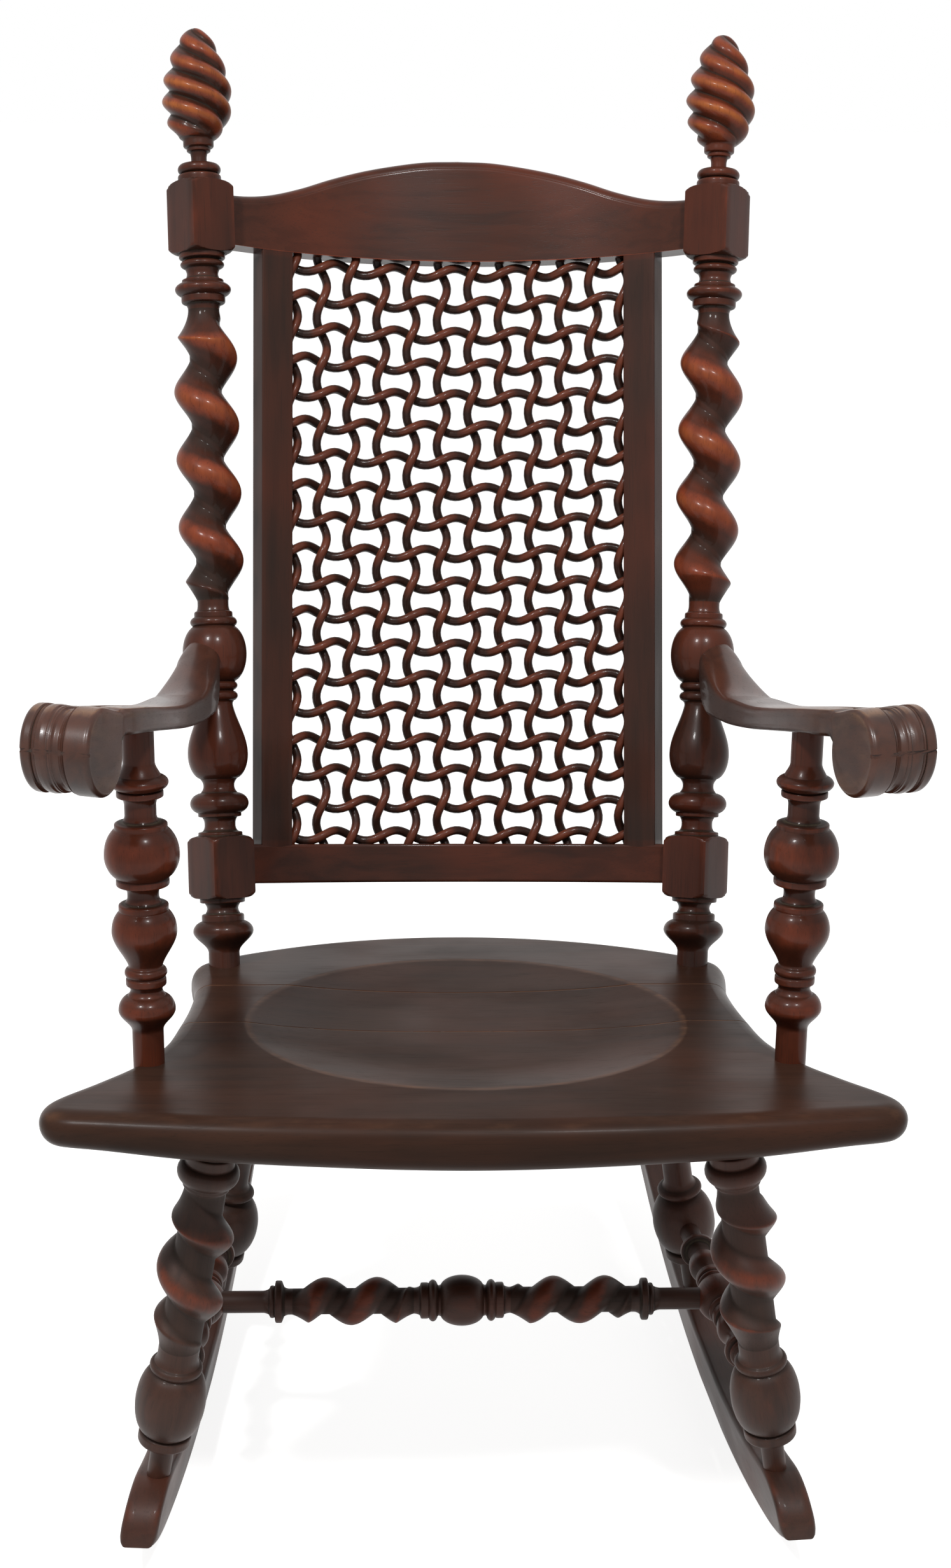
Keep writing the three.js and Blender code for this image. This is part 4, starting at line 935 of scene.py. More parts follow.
def aged_wood_group():
    """Grain, clouds, rubbed edges and dusty grooves of old polished wood, and the painted light and shade
    that its wear value carries.
    """
    name = "Aged Mahogany"
    if name in bpy.data.node_groups:
        return bpy.data.node_groups[name]
    grey = (0.1, 0.1, 0.1, 1)
    inputs = (
        ("Grain", "NodeSocketVector", None),
        ("Wear", "NodeSocketFloat", 0.5),
        *((shade, "NodeSocketColor", grey) for shade in WOOD_SHADES),
        ("Roughness", "NodeSocketFloat", 0.3),
    )
    outputs = (("Color", "NodeSocketColor"), ("Roughness", "NodeSocketFloat"), ("Normal", "NodeSocketVector"))
    tree = new_group(name, inputs, outputs)
    given = add_node(tree, "NodeGroupInput").outputs
    out = add_node(tree, "NodeGroupOutput").inputs
    streaks, clouds, reds, pores, specks = grain_masks(tree, given["Grain"])
    light, strong, sunk, deep = wear_and_light_masks(tree, given["Wear"], clouds, specks)
    layers = (
        (combined(tree, "ADD", scaled(tree, streaks, 0.42), scaled(tree, clouds, 0.42)), "Dark Grain"),
        (scaled(tree, reds, 0.5), "Blush"),
        (light, "Rubbed"),
        (strong, "Worn"),
        (scaled(tree, sunk, 0.8), "Grime"),
        (deep, "Dust"),
        (scaled(tree, pores, 0.3), "Grime"),
    )
    colours = given["Patina"]
    for mask, shade in layers:
        colours = blended(tree, mask, colours, given[shade])
    tree.links.new(colours, out["Color"])
    rough = given["Roughness"]
    for mask, amount in ((clouds, 0.1), (sunk, 0.3), (strong, 0.12), (pores, 0.06)):
        rough = combined(tree, "ADD", rough, scaled(tree, mask, amount))
    tree.links.new(rough, out["Roughness"])
    bump = add_node(tree, "ShaderNodeBump")
    bump.inputs["Strength"].default_value = 0.12
    bump.inputs["Distance"].default_value = 0.12 * MILLIMETRE
    tree.links.new(combined(tree, "SUBTRACT", scaled(tree, specks, 0.35), pores), bump.inputs["Height"])
    tree.links.new(bump.outputs["Normal"], out["Normal"])
    return tree


def wood_material(sizes, name, *, sheen=0.1, coat=0.1, dull=0, **own_shades):
    """Old wood in the frame's shades, but for those that it has under names of their own."""
    if name in bpy.data.materials:
        return bpy.data.materials[name]
    finish = sizes.chair_finish
    material = bpy.data.materials.new(name)
    material.use_nodes = True
    tree = material.node_tree
    shader = tree.nodes["Principled BSDF"]
    group = add_node(tree, "ShaderNodeGroup", node_tree=aged_wood_group())
    for shade in WOOD_SHADES:
        usual = shade.lower().replace(" ", "_")
        value = getattr(finish, own_shades.get(usual, usual))
        group.inputs[shade].default_value = (*value, 1)
    group.inputs["Roughness"].default_value = finish.gloss + dull
    grain = add_node(tree, "ShaderNodeAttribute", attribute_name="grain")
    wear = add_node(tree, "ShaderNodeAttribute", attribute_name="wear")
    tree.links.new(grain.outputs["Vector"], group.inputs["Grain"])
    tree.links.new(wear.outputs["Fac"], group.inputs["Wear"])
    tree.links.new(group.outputs["Color"], shader.inputs["Base Color"])
    tree.links.new(group.outputs["Roughness"], shader.inputs["Roughness"])
    tree.links.new(group.outputs["Normal"], shader.inputs["Normal"])
    shader.inputs["Specular IOR Level"].default_value = sheen
    shader.inputs["Coat Weight"].default_value = coat
    shader.inputs["Coat Roughness"].default_value = 0.1
    material.diffuse_color = group.inputs["Patina"].default_value
    return material


def frame_wood(sizes):
    return wood_material(sizes, "Frame Mahogany")


def leg_wood(sizes):
    return wood_material(sizes, "Leg Mahogany", sheen=0.2, coat=0.03, dull=0.12, patina="leg_patina",
        blush="leg_blush")


def seat_wood(sizes):
    return wood_material(sizes, "Board Mahogany", sheen=0.06, coat=0.01, patina="seat_patina",
        dark_grain="seat_grain", blush="seat_blush", rubbed="seat_rubbed", worn="seat_rubbed")


def arm_wood(sizes):
    return wood_material(sizes, "Arm Mahogany", sheen=0.3, patina="arm_patina", blush="arm_blush",
        rubbed="arm_rubbed", worn="arm_rubbed")


def rod_wood(sizes):
    return wood_material(sizes, "Lattice Mahogany", patina="rod_patina", blush="rod_patina",
        rubbed="rod_rubbed", worn="rod_worn")


# Pieces
class ChairSeat(bpy.types.Operator):
    """Build the three boards of the saddled seat"""
    bl_idname = "rocking_chair.seat"
    bl_label = "Seat"

    def execute(self, context):
        sizes = context.scene
        seat = sizes.chair_seat
        whole = wood_mesh("seat_whole", seat_rings(seat), "X", SEEDS["seat"], relief=1.4 * MILLIMETRE,
            rub=0.2, added_marks=lambda points, _: seat_marks(seat, points))
        gap = seat.joint / 2
        boards = (
            ("seat_front_board", None, seat.front_joint - gap),
            ("seat_middle_board", seat.front_joint + gap, seat.rear_joint - gap),
            ("seat_rear_board", seat.rear_joint + gap, None),
        )
        for node, low, high in boards:
            board = cut_board(whole, node + "_cut", low, high, seat.joint_arris)
            add_piece(board, node, seat_place(sizes), seat_wood(sizes))
        bpy.data.meshes.remove(whole)
        return {"FINISHED"}


def seat_marks(seat, points):
    """Painted shade darkening the rounded edge downward, wear in the hollow with painted light on its front
    slope, and a painted highlight along its rim.
    """
    dish, rim_width = seat.dish_radius, 3 * MILLIMETRE
    out = np.hypot(points[:, 0], points[:, 1])
    inside = ease((dish - out) / (0.02 * dish))
    slope = ease((out - 0.6 * dish) / (0.35 * dish))
    in_front = ease(-points[:, 1] / dish - 0.3)
    # Wear all over the hollow, and painted light on its front slope
    hollow = inside * (0.03 + 0.09 * slope * in_front)
    # A painted highlight along the rim
    rim = 0.1 * np.exp(-((out - dish) / rim_width) ** 2)
    # Painted shade, darker down the rounded edge and under the seat
    edge = 0.16 * ease((-points[:, 2] - 2 * MILLIMETRE) / seat.rounding)
    on_top = (points[:, 2] > -1.05 * seat.dish_depth) & (out < 1.05 * dish)
    return np.where(on_top, hollow + rim, -edge)


def edge_arc(places, reach, radius, sign):
    """Points of the seat's front or back edge, an arc about a point on the middle line."""
    across = [place * MILLIMETRE for place in places]
    return [(x, sign * (reach - radius + sqrt(radius ** 2 - x ** 2))) for x in across]


def seat_edge(seat):
    front = edge_arc(SEAT_FRONT, seat.front_reach, seat.front_radius, -1)
    rear = edge_arc(SEAT_REAR, seat.rear_reach, seat.rear_radius, 1)
    side = [(x * MILLIMETRE, y * MILLIMETRE) for x, y in SEAT_SIDE]
    half = front + side + rear
    mirror = [(-x, y) for x, y in reversed(half) if x > 0]
    return smooth_line(half + mirror, 4.5 * MILLIMETRE, closed=True)


def edge_thickness(seat, edge):
    """Thickness at each point of the edge: fuller in the front's middle and thinner at the ears."""
    aside = np.abs(edge[:, 0])
    in_front = 1 - ease((edge[:, 1] + 240 * MILLIMETRE) / (140 * MILLIMETRE))
    middle = 1 - ease(aside / (220 * MILLIMETRE))
    ear = ease((aside - 180 * MILLIMETRE) / (140 * MILLIMETRE))
    return seat.thickness + (seat.middle_swell * middle - seat.ear_taper * ear) * in_front


def seat_rings(seat):
    """Rings from the middle of the hollow over the rounded edge to the middle of the underside."""
    edge = seat_edge(seat)
    along = np.roll(edge, -1, axis=0) - np.roll(edge, 1, axis=0)
    along /= np.linalg.norm(along, axis=1)[:, None]
    outward = np.stack([along[:, 1], -along[:, 0]], axis=1)
    dish = edge / np.linalg.norm(edge, axis=1)[:, None] * seat.dish_radius
    inner = edge - outward * seat.rounding
    lip_share, lip_drop, flat_start = 0.012, 0.02 * seat.dish_depth, 1.02
    rings = [(dish * part, -seat.dish_depth * (1 - part ** 3)) for part in DISH_STEPS]
    rings += [(dish * (1 + lip_share * part), -lip_drop * (1 - part)) for part in (0, 0.5, 1)]
    rings += [(dish * flat_start + (inner - dish * flat_start) * part, 0) for part in FLAT_STEPS]
    thickness = edge_thickness(seat, edge)
    quarter = np.linspace(0, pi / 2, 9)
    over = np.minimum(seat.rounding, 0.44 * thickness)
    for turn in quarter:
        rings.append((edge - outward * (seat.rounding * (1 - sin(turn))), -over * (1 - cos(turn))))
    under = np.minimum(seat.rounding, 0.54 * thickness)
    for turn in quarter[::-1]:
        inward = (under * (1 - sin(turn)))[:, None]
        rings.append((edge - outward * inward, -thickness + under * (1 - cos(turn))))
    for part in UNDER_STEPS:
        rings.append((inner * part, -seat.thickness - (thickness - seat.thickness) * part))
    return np.array([np.column_stack([flat, np.full(len(flat), height)]) for flat, height in rings])


def bisected(shape, place, outward, clear=False):
    """Cut the shape across at a place and, if asked, clear what lies outward; gives what the cut made."""
    everything = shape.verts[:] + shape.edges[:] + shape.faces[:]
    cut = bmesh.ops.bisect_plane(shape, geom=everything, plane_co=(0, place, 0), plane_no=(0, outward, 0),
        clear_outer=clear)
    return cut["geom_cut"]


def cut_board(whole, name, low, high, arris):
    """The part of the seat between two joints, with its cut sides closed."""
    worn_arris, near, underside = 0.74, 0.01 * MILLIMETRE, -20 * MILLIMETRE
    shape = bmesh.new()
    shape.from_mesh(whole)
    for place, outward in ((low, -1), (high, 1)):
        if place is None:
            continue
        cut = bisected(shape, place, outward, clear=True)
        rim = [part for part in cut if isinstance(part, bmesh.types.BMEdge)]
        bmesh.ops.holes_fill(shape, edges=rim, sides=0)
        for inward in (arris, 2 * arris):
            bisected(shape, place - outward * inward, outward)
        wear = shape.verts.layers.float["wear"]
        for corner in shape.verts:
            if abs(corner.co.y - place) < near and corner.co.z > underside:
                corner[wear] = worn_arris
                corner.co.z -= arris / 2
    mesh = bpy.data.meshes.new(name)
    shape.to_mesh(mesh)
    shape.free()
    mesh.shade_smooth()
    mesh.set_sharp_from_angle(angle=SHARP_ANGLE)
    return mesh


class ChairPosts(bpy.types.Operator):
    """Build the turned and twisted back posts"""
    bl_idname = "rocking_chair.posts"
    bl_label = "Back Posts"

    def execute(self, context):
        sizes = context.scene
        post = sizes.chair_post
        blocks = ((post.lower_block, post.lower_half), (post.upper_block, post.upper_half))

        def rub(points):
            """Rubbed on the twist, less on the turnings under it and least on the blocks."""
            strength = 0.3 + 0.25 * ease((points[:, 2] - post.twist_from) / (0.15 * post.top))
            for at, half in blocks:
                strength = np.where(np.abs(points[:, 2] - at) < half + MILLIMETRE, 0.16, strength)
            return strength

        for index, (name, sign) in enumerate(SIDES):
            twist = twist_of(post, sign, post.lower_flare, post.upper_flare)
            turn = -sign * post.block_turn

            def with_blocks(radius, heights, angles, turn=turn):
                for at, half in blocks:
                    radius = np.maximum(radius, block_radius(post, at, half, heights, angles - turn))
                return radius

            turned_piece(f"back_post_{name}", post_place(sizes, sign), block_marks(post, blocks), post.neck,
                -SOCKET, post.top + FINIAL_SOCKET, frame_wood(sizes), SEEDS["back_post"] + index, sides=56,
                step=1.4, twists=(twist,), radius_at=with_blocks, base_turn=turn, relief=1.8, rub=rub)
        return {"FINISHED"}


def block_marks(post, blocks):
    """The post's turnings and a narrow mark at each end of the blocks' shoulders."""
    marks = turnings_of(post)
    for at, half in blocks:
        inner = half - post.block_round
        marks.append(("shoulder_vase", (at - inner, post.neck, post.block_round, post.block_round)))
        marks.append(("shoulder_vase", (at + inner, post.neck, post.block_round, post.block_round)))
    return marks


def block_radius(post, at, half, heights, angles):
    """A square block with softened corners and a rounded shoulder at each end."""
    sharpness, crisp_share = 22, 0.35
    across, along = np.abs(np.cos(angles)), np.abs(np.sin(angles))
    crisp = post.block_width / 2 / np.maximum(across, along)
    soft = post.block_width / 2 / (across ** sharpness + along ** sharpness) ** (1 / sharpness)
    square = crisp * crisp_share + soft * (1 - crisp_share)
    foot, widest = 0.47 * post.block_width, 0.725 * post.block_width
    inward = half - np.abs(heights - at)
    off = np.clip(1 - inward / post.block_round, 0, 1)
    shoulder = foot + (widest - foot) * np.sqrt(1 - off ** 2)
    return np.where(inward > 0, np.minimum(square, shoulder), 0)


class ChairFinials(bpy.types.Operator):
    """Build the spiral finials"""
    bl_idname = "rocking_chair.finials"
    bl_label = "Finials"

    def execute(self, context):
        sizes = context.scene
        finial, post = sizes.chair_finial, sizes.chair_post
        for index, (name, sign) in enumerate(SIDES):
            phase = finial.left_phase if sign < 0 else finial.right_phase
            rings, marks = finial_rings(finial, post.top, phase)
            mesh = wood_mesh(f"finial_{name}_turned", rings, "Z", SEEDS["finial"] + index,
                relief=1.6 * MILLIMETRE, rub=0.7, added_marks=lambda points, _, marks=marks: marks)
            add_piece(mesh, f"finial_{name}", post_place(sizes, sign), frame_wood(sizes))
        return {"FINISHED"}


def finial_rings(finial, base, phase):
    """Rings of the cup and the lobed body over it, and marks that rub the ridges of the lobes."""
    sides, hollow, cup_end = 72, 0.08, 0.1
    ridge_lift, plain_share, cup_share = 0.36, 0.58, 0.55
    turnings = turnings_of(finial)
    along = turned_stations(turnings, base - SOCKET, finial.tip, 0.9 * MILLIMETRE, least=0.25 * MILLIMETRE)
    rise = (along - finial.foot) / (finial.tip - finial.foot)
    shares, widths = smooth_line(FINIAL_BODY, 0.01).T
    wide = np.interp(rise, shares, widths)
    spread = np.arange(sides) * FULL_TURN / sides
    lobe = np.abs(np.cos(spread * finial.lobes / 2))[None, :]
    lobe = (np.sqrt(lobe ** 2 + hollow ** 2) - hollow) / (sqrt(1 + hollow ** 2) - hollow)
    body = np.where(rise >= 0, wide * finial.radius, 0)
    depth = finial.depth * np.clip(wide, 0, 1) * ease(rise / cup_end)
    cup = np.where(rise < cup_end, turned_radius(turnings, finial.neck, along), 0)
    radius = np.maximum(body[:, None] - depth[:, None] * (1 - lobe), cup[:, None])
    radius = np.maximum(radius, 0.3 * MILLIMETRE)
    turn = phase - FULL_TURN * (along - finial.foot) / finial.pitch
    near_ridge = np.where((rise > 0.02)[:, None], lobe, cup_share).ravel()
    return around(along, radius, turn[:, None] + spread), ridge_lift * (near_ridge - plain_share)


class ChairBack(bpy.types.Operator):
    """Build the bowed rails and the grooved stiles of the back"""
    bl_idname = "rocking_chair.back"
    bl_label = "Rails and Stiles"

    def execute(self, context):
        sizes = context.scene
        back, post = sizes.chair_back, sizes.chair_post
        panel, centre, halves = panel_place(sizes)
        end = post.block_width / 2 - back.seated
        crest = smooth_line(np.asarray(CREST_LINE) * MILLIMETRE, 2 * MILLIMETRE)
        rails = (
            ("lower_rail", halves[0] - end, lower_rail_section),
            ("crest_rail", halves[1] - end, crest_section),
        )
        for index, (node, half, section) in enumerate(rails):
            rings = []
            for place in even_step(-half, half, 3 * MILLIMETRE):
                top = np.interp(abs(place), crest[:, 0], crest[:, 1])
                out, height = np.array(section(back, top)).T
                rings.append(on_bow(back, centre, place, height, out))
            mesh = wood_mesh(node + "_bowed", np.array(rings), "X", SEEDS["rail"] + index,
                relief=1.5 * MILLIMETRE, rub=0.75, rounds=4)
            add_piece(mesh, node, panel, frame_wood(sizes))
        for index, (name, sign) in enumerate(SIDES):
            mesh = wood_mesh(f"back_stile_{name}_grooved", stile_rings(back, centre, sign), "Z",
                SEEDS["back_stile"] + index, relief=1.2 * MILLIMETRE, rub=0.4, rounds=4,
                added_marks=lambda points, _: np.full(len(points), -0.15))
            add_piece(mesh, f"back_stile_{name}", panel, frame_wood(sizes))
        return {"FINISHED"}


def face_steps(start, end, parts):
    """Points from start to end, without the end, closer together near both ends."""
    spread = (1 - np.cos(np.linspace(0, pi, parts + 1)[:-1])) / 2
    return [(start[0] + (end[0] - start[0]) * part, start[1] + (end[1] - start[1]) * part) for part in spread]


def rounded_section(corners, rounding, parts):
    """A closed line through rounded corners, given as points across and up."""
    corners = [np.array(corner) for corner in corners]
    points = []
    for index, corner in enumerate(corners):
        before, after = corners[index - 1], corners[(index + 1) % len(corners)]
        to_before = (before - corner) / np.linalg.norm(before - corner)
        to_after = (after - corner) / np.linalg.norm(after - corner)
        start, end = corner + to_before * rounding, corner + to_after * rounding
        for part in np.linspace(0, 1, 5):
            points.append(tuple(start * (1 - part) ** 2 + 2 * corner * part * (1 - part) + end * part ** 2))
        points += face_steps(end, after - to_after * rounding, parts)[1:]
    return points


def lower_rail_section(back, _):
    half = back.rail_thickness / 2
    corners = ((-half, back.rail_foot), (half, back.rail_foot), (half, back.rail_top), (-half, back.rail_top))
    return rounded_section(corners, back.rail_round, 8)


def crest_section(back, top):
    """The crest's section, with a small arris at each side of its rounded top."""
    half = back.rail_thickness / 2
    shoulder = top - back.crest_round
    arris = back.crest_arris
    soft = 0.3 * arris
    points = face_steps((-half, back.opening_top), (-half, shoulder - arris), 12)
    points += [(-half, shoulder - arris), (-half + soft, shoulder - soft), (-half + arris, shoulder)]
    for turn in np.linspace(0, pi, 15)[1:-1]:
        points.append((-(half - arris) * cos(turn), shoulder + back.crest_round * sin(turn)))
    points += [(half - arris, shoulder), (half - soft, shoulder - soft)]
    points += face_steps((half, shoulder - arris), (half, back.opening_top), 12)
    points += face_steps((half, back.opening_top), (-half, back.opening_top), 6)
    return points


def stile_rings(back, centre, sign):
    """Rings of one stile, square to the bow at the stile's middle."""
    inner, outer = back.stile_inner, back.stile_inner + back.stile_width
    half = back.stile_thickness / 2
    groove, floor = back.groove_width / 2, back.stile_inner + back.groove_depth
    corners = (
        (inner, -half), (outer, -half), (outer, half), (inner, half), (inner, groove), (floor, groove),
        (floor, -groove), (inner, -groove),
    )
    section = np.array(rounded_section(corners, back.stile_round / 2, 4))
    middle = sign * (inner + outer) / 2
    turn = middle / back.bow_radius
    origin = on_bow(back, centre, middle, 0)
    across, out = sign * section[:, 0] - middle, section[:, 1]
    x = origin[0] + across * cos(turn) + out * sin(turn)
    y = origin[1] - across * sin(turn) + out * cos(turn)
    seated = 2 * MILLIMETRE
    heights = even_step(back.opening_foot - seated, back.opening_top + seated, 8 * MILLIMETRE)
    return np.array([np.column_stack([x, y, np.full(len(x), height)]) for height in heights])


class ChairLattice(bpy.types.Operator):
    """Build the woven rods of the back"""
    bl_idname = "rocking_chair.lattice"
    bl_label = "Lattice"

    def execute(self, context):
        sizes = context.scene
        back = sizes.chair_back
        panel, centre, _ = panel_place(sizes)
        middle = (back.opening_foot + back.opening_top) / 2
        half_height = (back.opening_top - back.opening_foot) / 2
        row_spacing = (2 * half_height - 2 * back.end_margin) / (back.rows - 1)
        for column in range(back.columns):
            base = (column - (back.columns - 1) / 2) * back.column_spacing
            starts_behind = (column + back.rows) % 2 == 0
            at, turn = weave(half_height + 2 * MILLIMETRE, row_spacing, back.rows, starts_behind)
            swung = base + back.swing * np.sin(turn)
            line = on_bow(back, centre, swung, middle + at, -back.swing * np.cos(turn))
            self.add_rod(sizes, "lattice_upright", column, "Z", line, np.cos(turn), panel)
        for row in range(back.rows):
            base = back.opening_top - back.end_margin - row * row_spacing
            half_width = back.stile_inner + back.groove_depth
            at, turn = weave(half_width, back.column_spacing, back.columns, row % 2 == 0)
            line = on_bow(back, centre, at, base + back.swing * np.sin(turn), -back.swing * np.cos(turn))
            self.add_rod(sizes, "lattice_level", row, "X", line, np.cos(turn), panel)
        return {"FINISHED"}

    def add_rod(self, sizes, kind, index, grain_axis, line, front, panel):
        """Add a round rod along a line; front is one where it lies foremost and minus one where rearmost."""
        node = f"{kind}_{index + 1}"
        sides = 14
        angles = np.arange(sides) * FULL_TURN / sides
        toward_front = np.array([0.0, -1.0, 0.0])
        along = np.gradient(line, axis=0)
        along /= np.linalg.norm(along, axis=1)[:, None]
        across = np.cross(along, toward_front)
        across /= np.linalg.norm(across, axis=1)[:, None]
        out = np.cross(across, along)
        rings = line[:, None] + sizes.chair_back.rod_radius * (
            np.cos(angles)[:, None] * out[:, None] + np.sin(angles)[:, None] * across[:, None])
        # Painted light where the rod lies foremost and on its forward side, and painted shade where it passes
        # behind
        wear = np.clip(0.5 + 0.22 * front[:, None] + 0.07 * (np.cos(angles) - 0.4), 0, 1).ravel()
        mesh = wood_mesh(node + "_rod", rings, grain_axis, SEEDS[kind] + index, wear=wear)
        add_piece(mesh, node, panel, rod_wood(sizes))


def weave(half, spacing, crossings, starts_behind):
    """Places along a rod, and the turn of its swing there: a whole turn for every two crossings."""
    at = even_step(-half, half, spacing / 8)
    first = -(crossings - 1) / 2 * spacing
    return at, ((at - first) / (2 * spacing) + (0.5 if starts_behind else 0)) * FULL_TURN


class ChairArms(bpy.types.Operator):
    """Build the arms with their rolled ends and their turned supports"""
    bl_idname = "rocking_chair.arms"
    bl_label = "Arms and Supports"

    def execute(self, context):
        sizes = context.scene
        support = sizes.chair_support
        for index, (name, sign) in enumerate(SIDES):
            mesh = wood_mesh(f"arm_{name}_shaped", arm_rings(sizes, sign), "Y", SEEDS["arm"] + index,
                relief=0.9 * MILLIMETRE, rub=0.12, rounds=5,
                added_marks=lambda points, normals, sign=sign: arm_marks(sign, points, normals))
            add_piece(mesh, f"arm_{name}", arm_place(sizes, sign), arm_wood(sizes))
            place, reach = support_place(sizes, sign)
            turned_piece(f"arm_support_{name}", place, turnings_of(support), support.neck, -SOCKET,
                reach + SOCKET, frame_wood(sizes), SEEDS["arm_support"] + index, step=1.1, relief=1.6,
                rub=0.4)
        return {"FINISHED"}


def arm_marks(sign, points, normals):
    """Lighter on top near the roll, as wear where hands rest and as painted sheen, and a little on the inner
    side there; painted shade darkens the inner side towards the post.
    """
    near_roll = 1 - ease((points[:, 1] + 60 * MILLIMETRE) / (240 * MILLIMETRE))
    above = ease((normals[:, 2] - 0.72) / 0.2) * near_roll
    inside = ease((-sign * normals[:, 0] - 0.6) / 0.3)
    # Wear and painted sheen on top near the roll, wear on the inner side there, and painted shade on the
    # inner side towards the post
    return 0.12 * above + 0.05 * inside * near_roll - 0.16 * inside * (1 - near_roll)


def arm_lines(sizes):
    """Inner and outer edge of the right arm in its own place, from the ball to the roll's rear."""
    arm = sizes.chair_arm
    inverse = arm_place(sizes, 1).inverted()
    level = arm.thickness
    lines = []
    for pair in ARM_EDGES:
        ends = []
        for x, y in pair:
            low = inverse @ vector(x, y, 0)
            high = inverse @ vector(x, y, 1000)
            part = (level - low.z) / (high.z - low.z)
            point = low.lerp(high, part)
            ends.append((point.x, point.y))
        lines.append(ends)
    return np.array(lines)


def arm_ring(top_at, bottom_at, width, rounding):
    """Points round the arm from a line over its top and one under it, with rounded edges."""
    turns = np.linspace(0, pi / 2, 6)
    middle = np.linspace(rounding / width, 1 - rounding / width, 81)[1:-1]
    edge = rounding * (1 - np.cos(turns)) / width
    across = np.concatenate([edge, middle, 1 - edge[::-1]])
    edge_drop = rounding * (1 - np.sin(turns))
    drop = np.concatenate([edge_drop, np.zeros(len(middle)), edge_drop[::-1]])
    top, bottom = top_at(across, drop), bottom_at(across, drop)
    parts = np.array([0.25, 0.5, 0.75])[:, None]
    outer_side = top[-1] + (bottom[-1] - top[-1]) * parts
    inner_side = bottom[0] + (top[0] - bottom[0]) * parts
    return np.concatenate([top, outer_side, bottom[::-1], inner_side])


def roll_cuts(across, cuts_share):
    """Depth of the cuts turned into the roll, or of the share of it that is left."""
    places, depths = np.array(ROLL_CUTS).T
    return np.interp(across, places, depths) * MILLIMETRE * cuts_share


def along_arm(table, long):
    """Height of the slab's top or underside at a place along it."""
    places, heights = smooth_line(np.array(table, float), 4).T
    return float(np.interp(long / MILLIMETRE, places, heights)) * MILLIMETRE


def bulged(across):
    """Nothing in the middle of a round top and one at its two sides."""
    return 1 - np.sqrt(np.clip(1 - (2 * across - 1) ** 2, 0, 1))


def crowned(across):
    """One along the middle of the slab and nothing at its edges."""
    return 1 - (2 * across - 1) ** 2


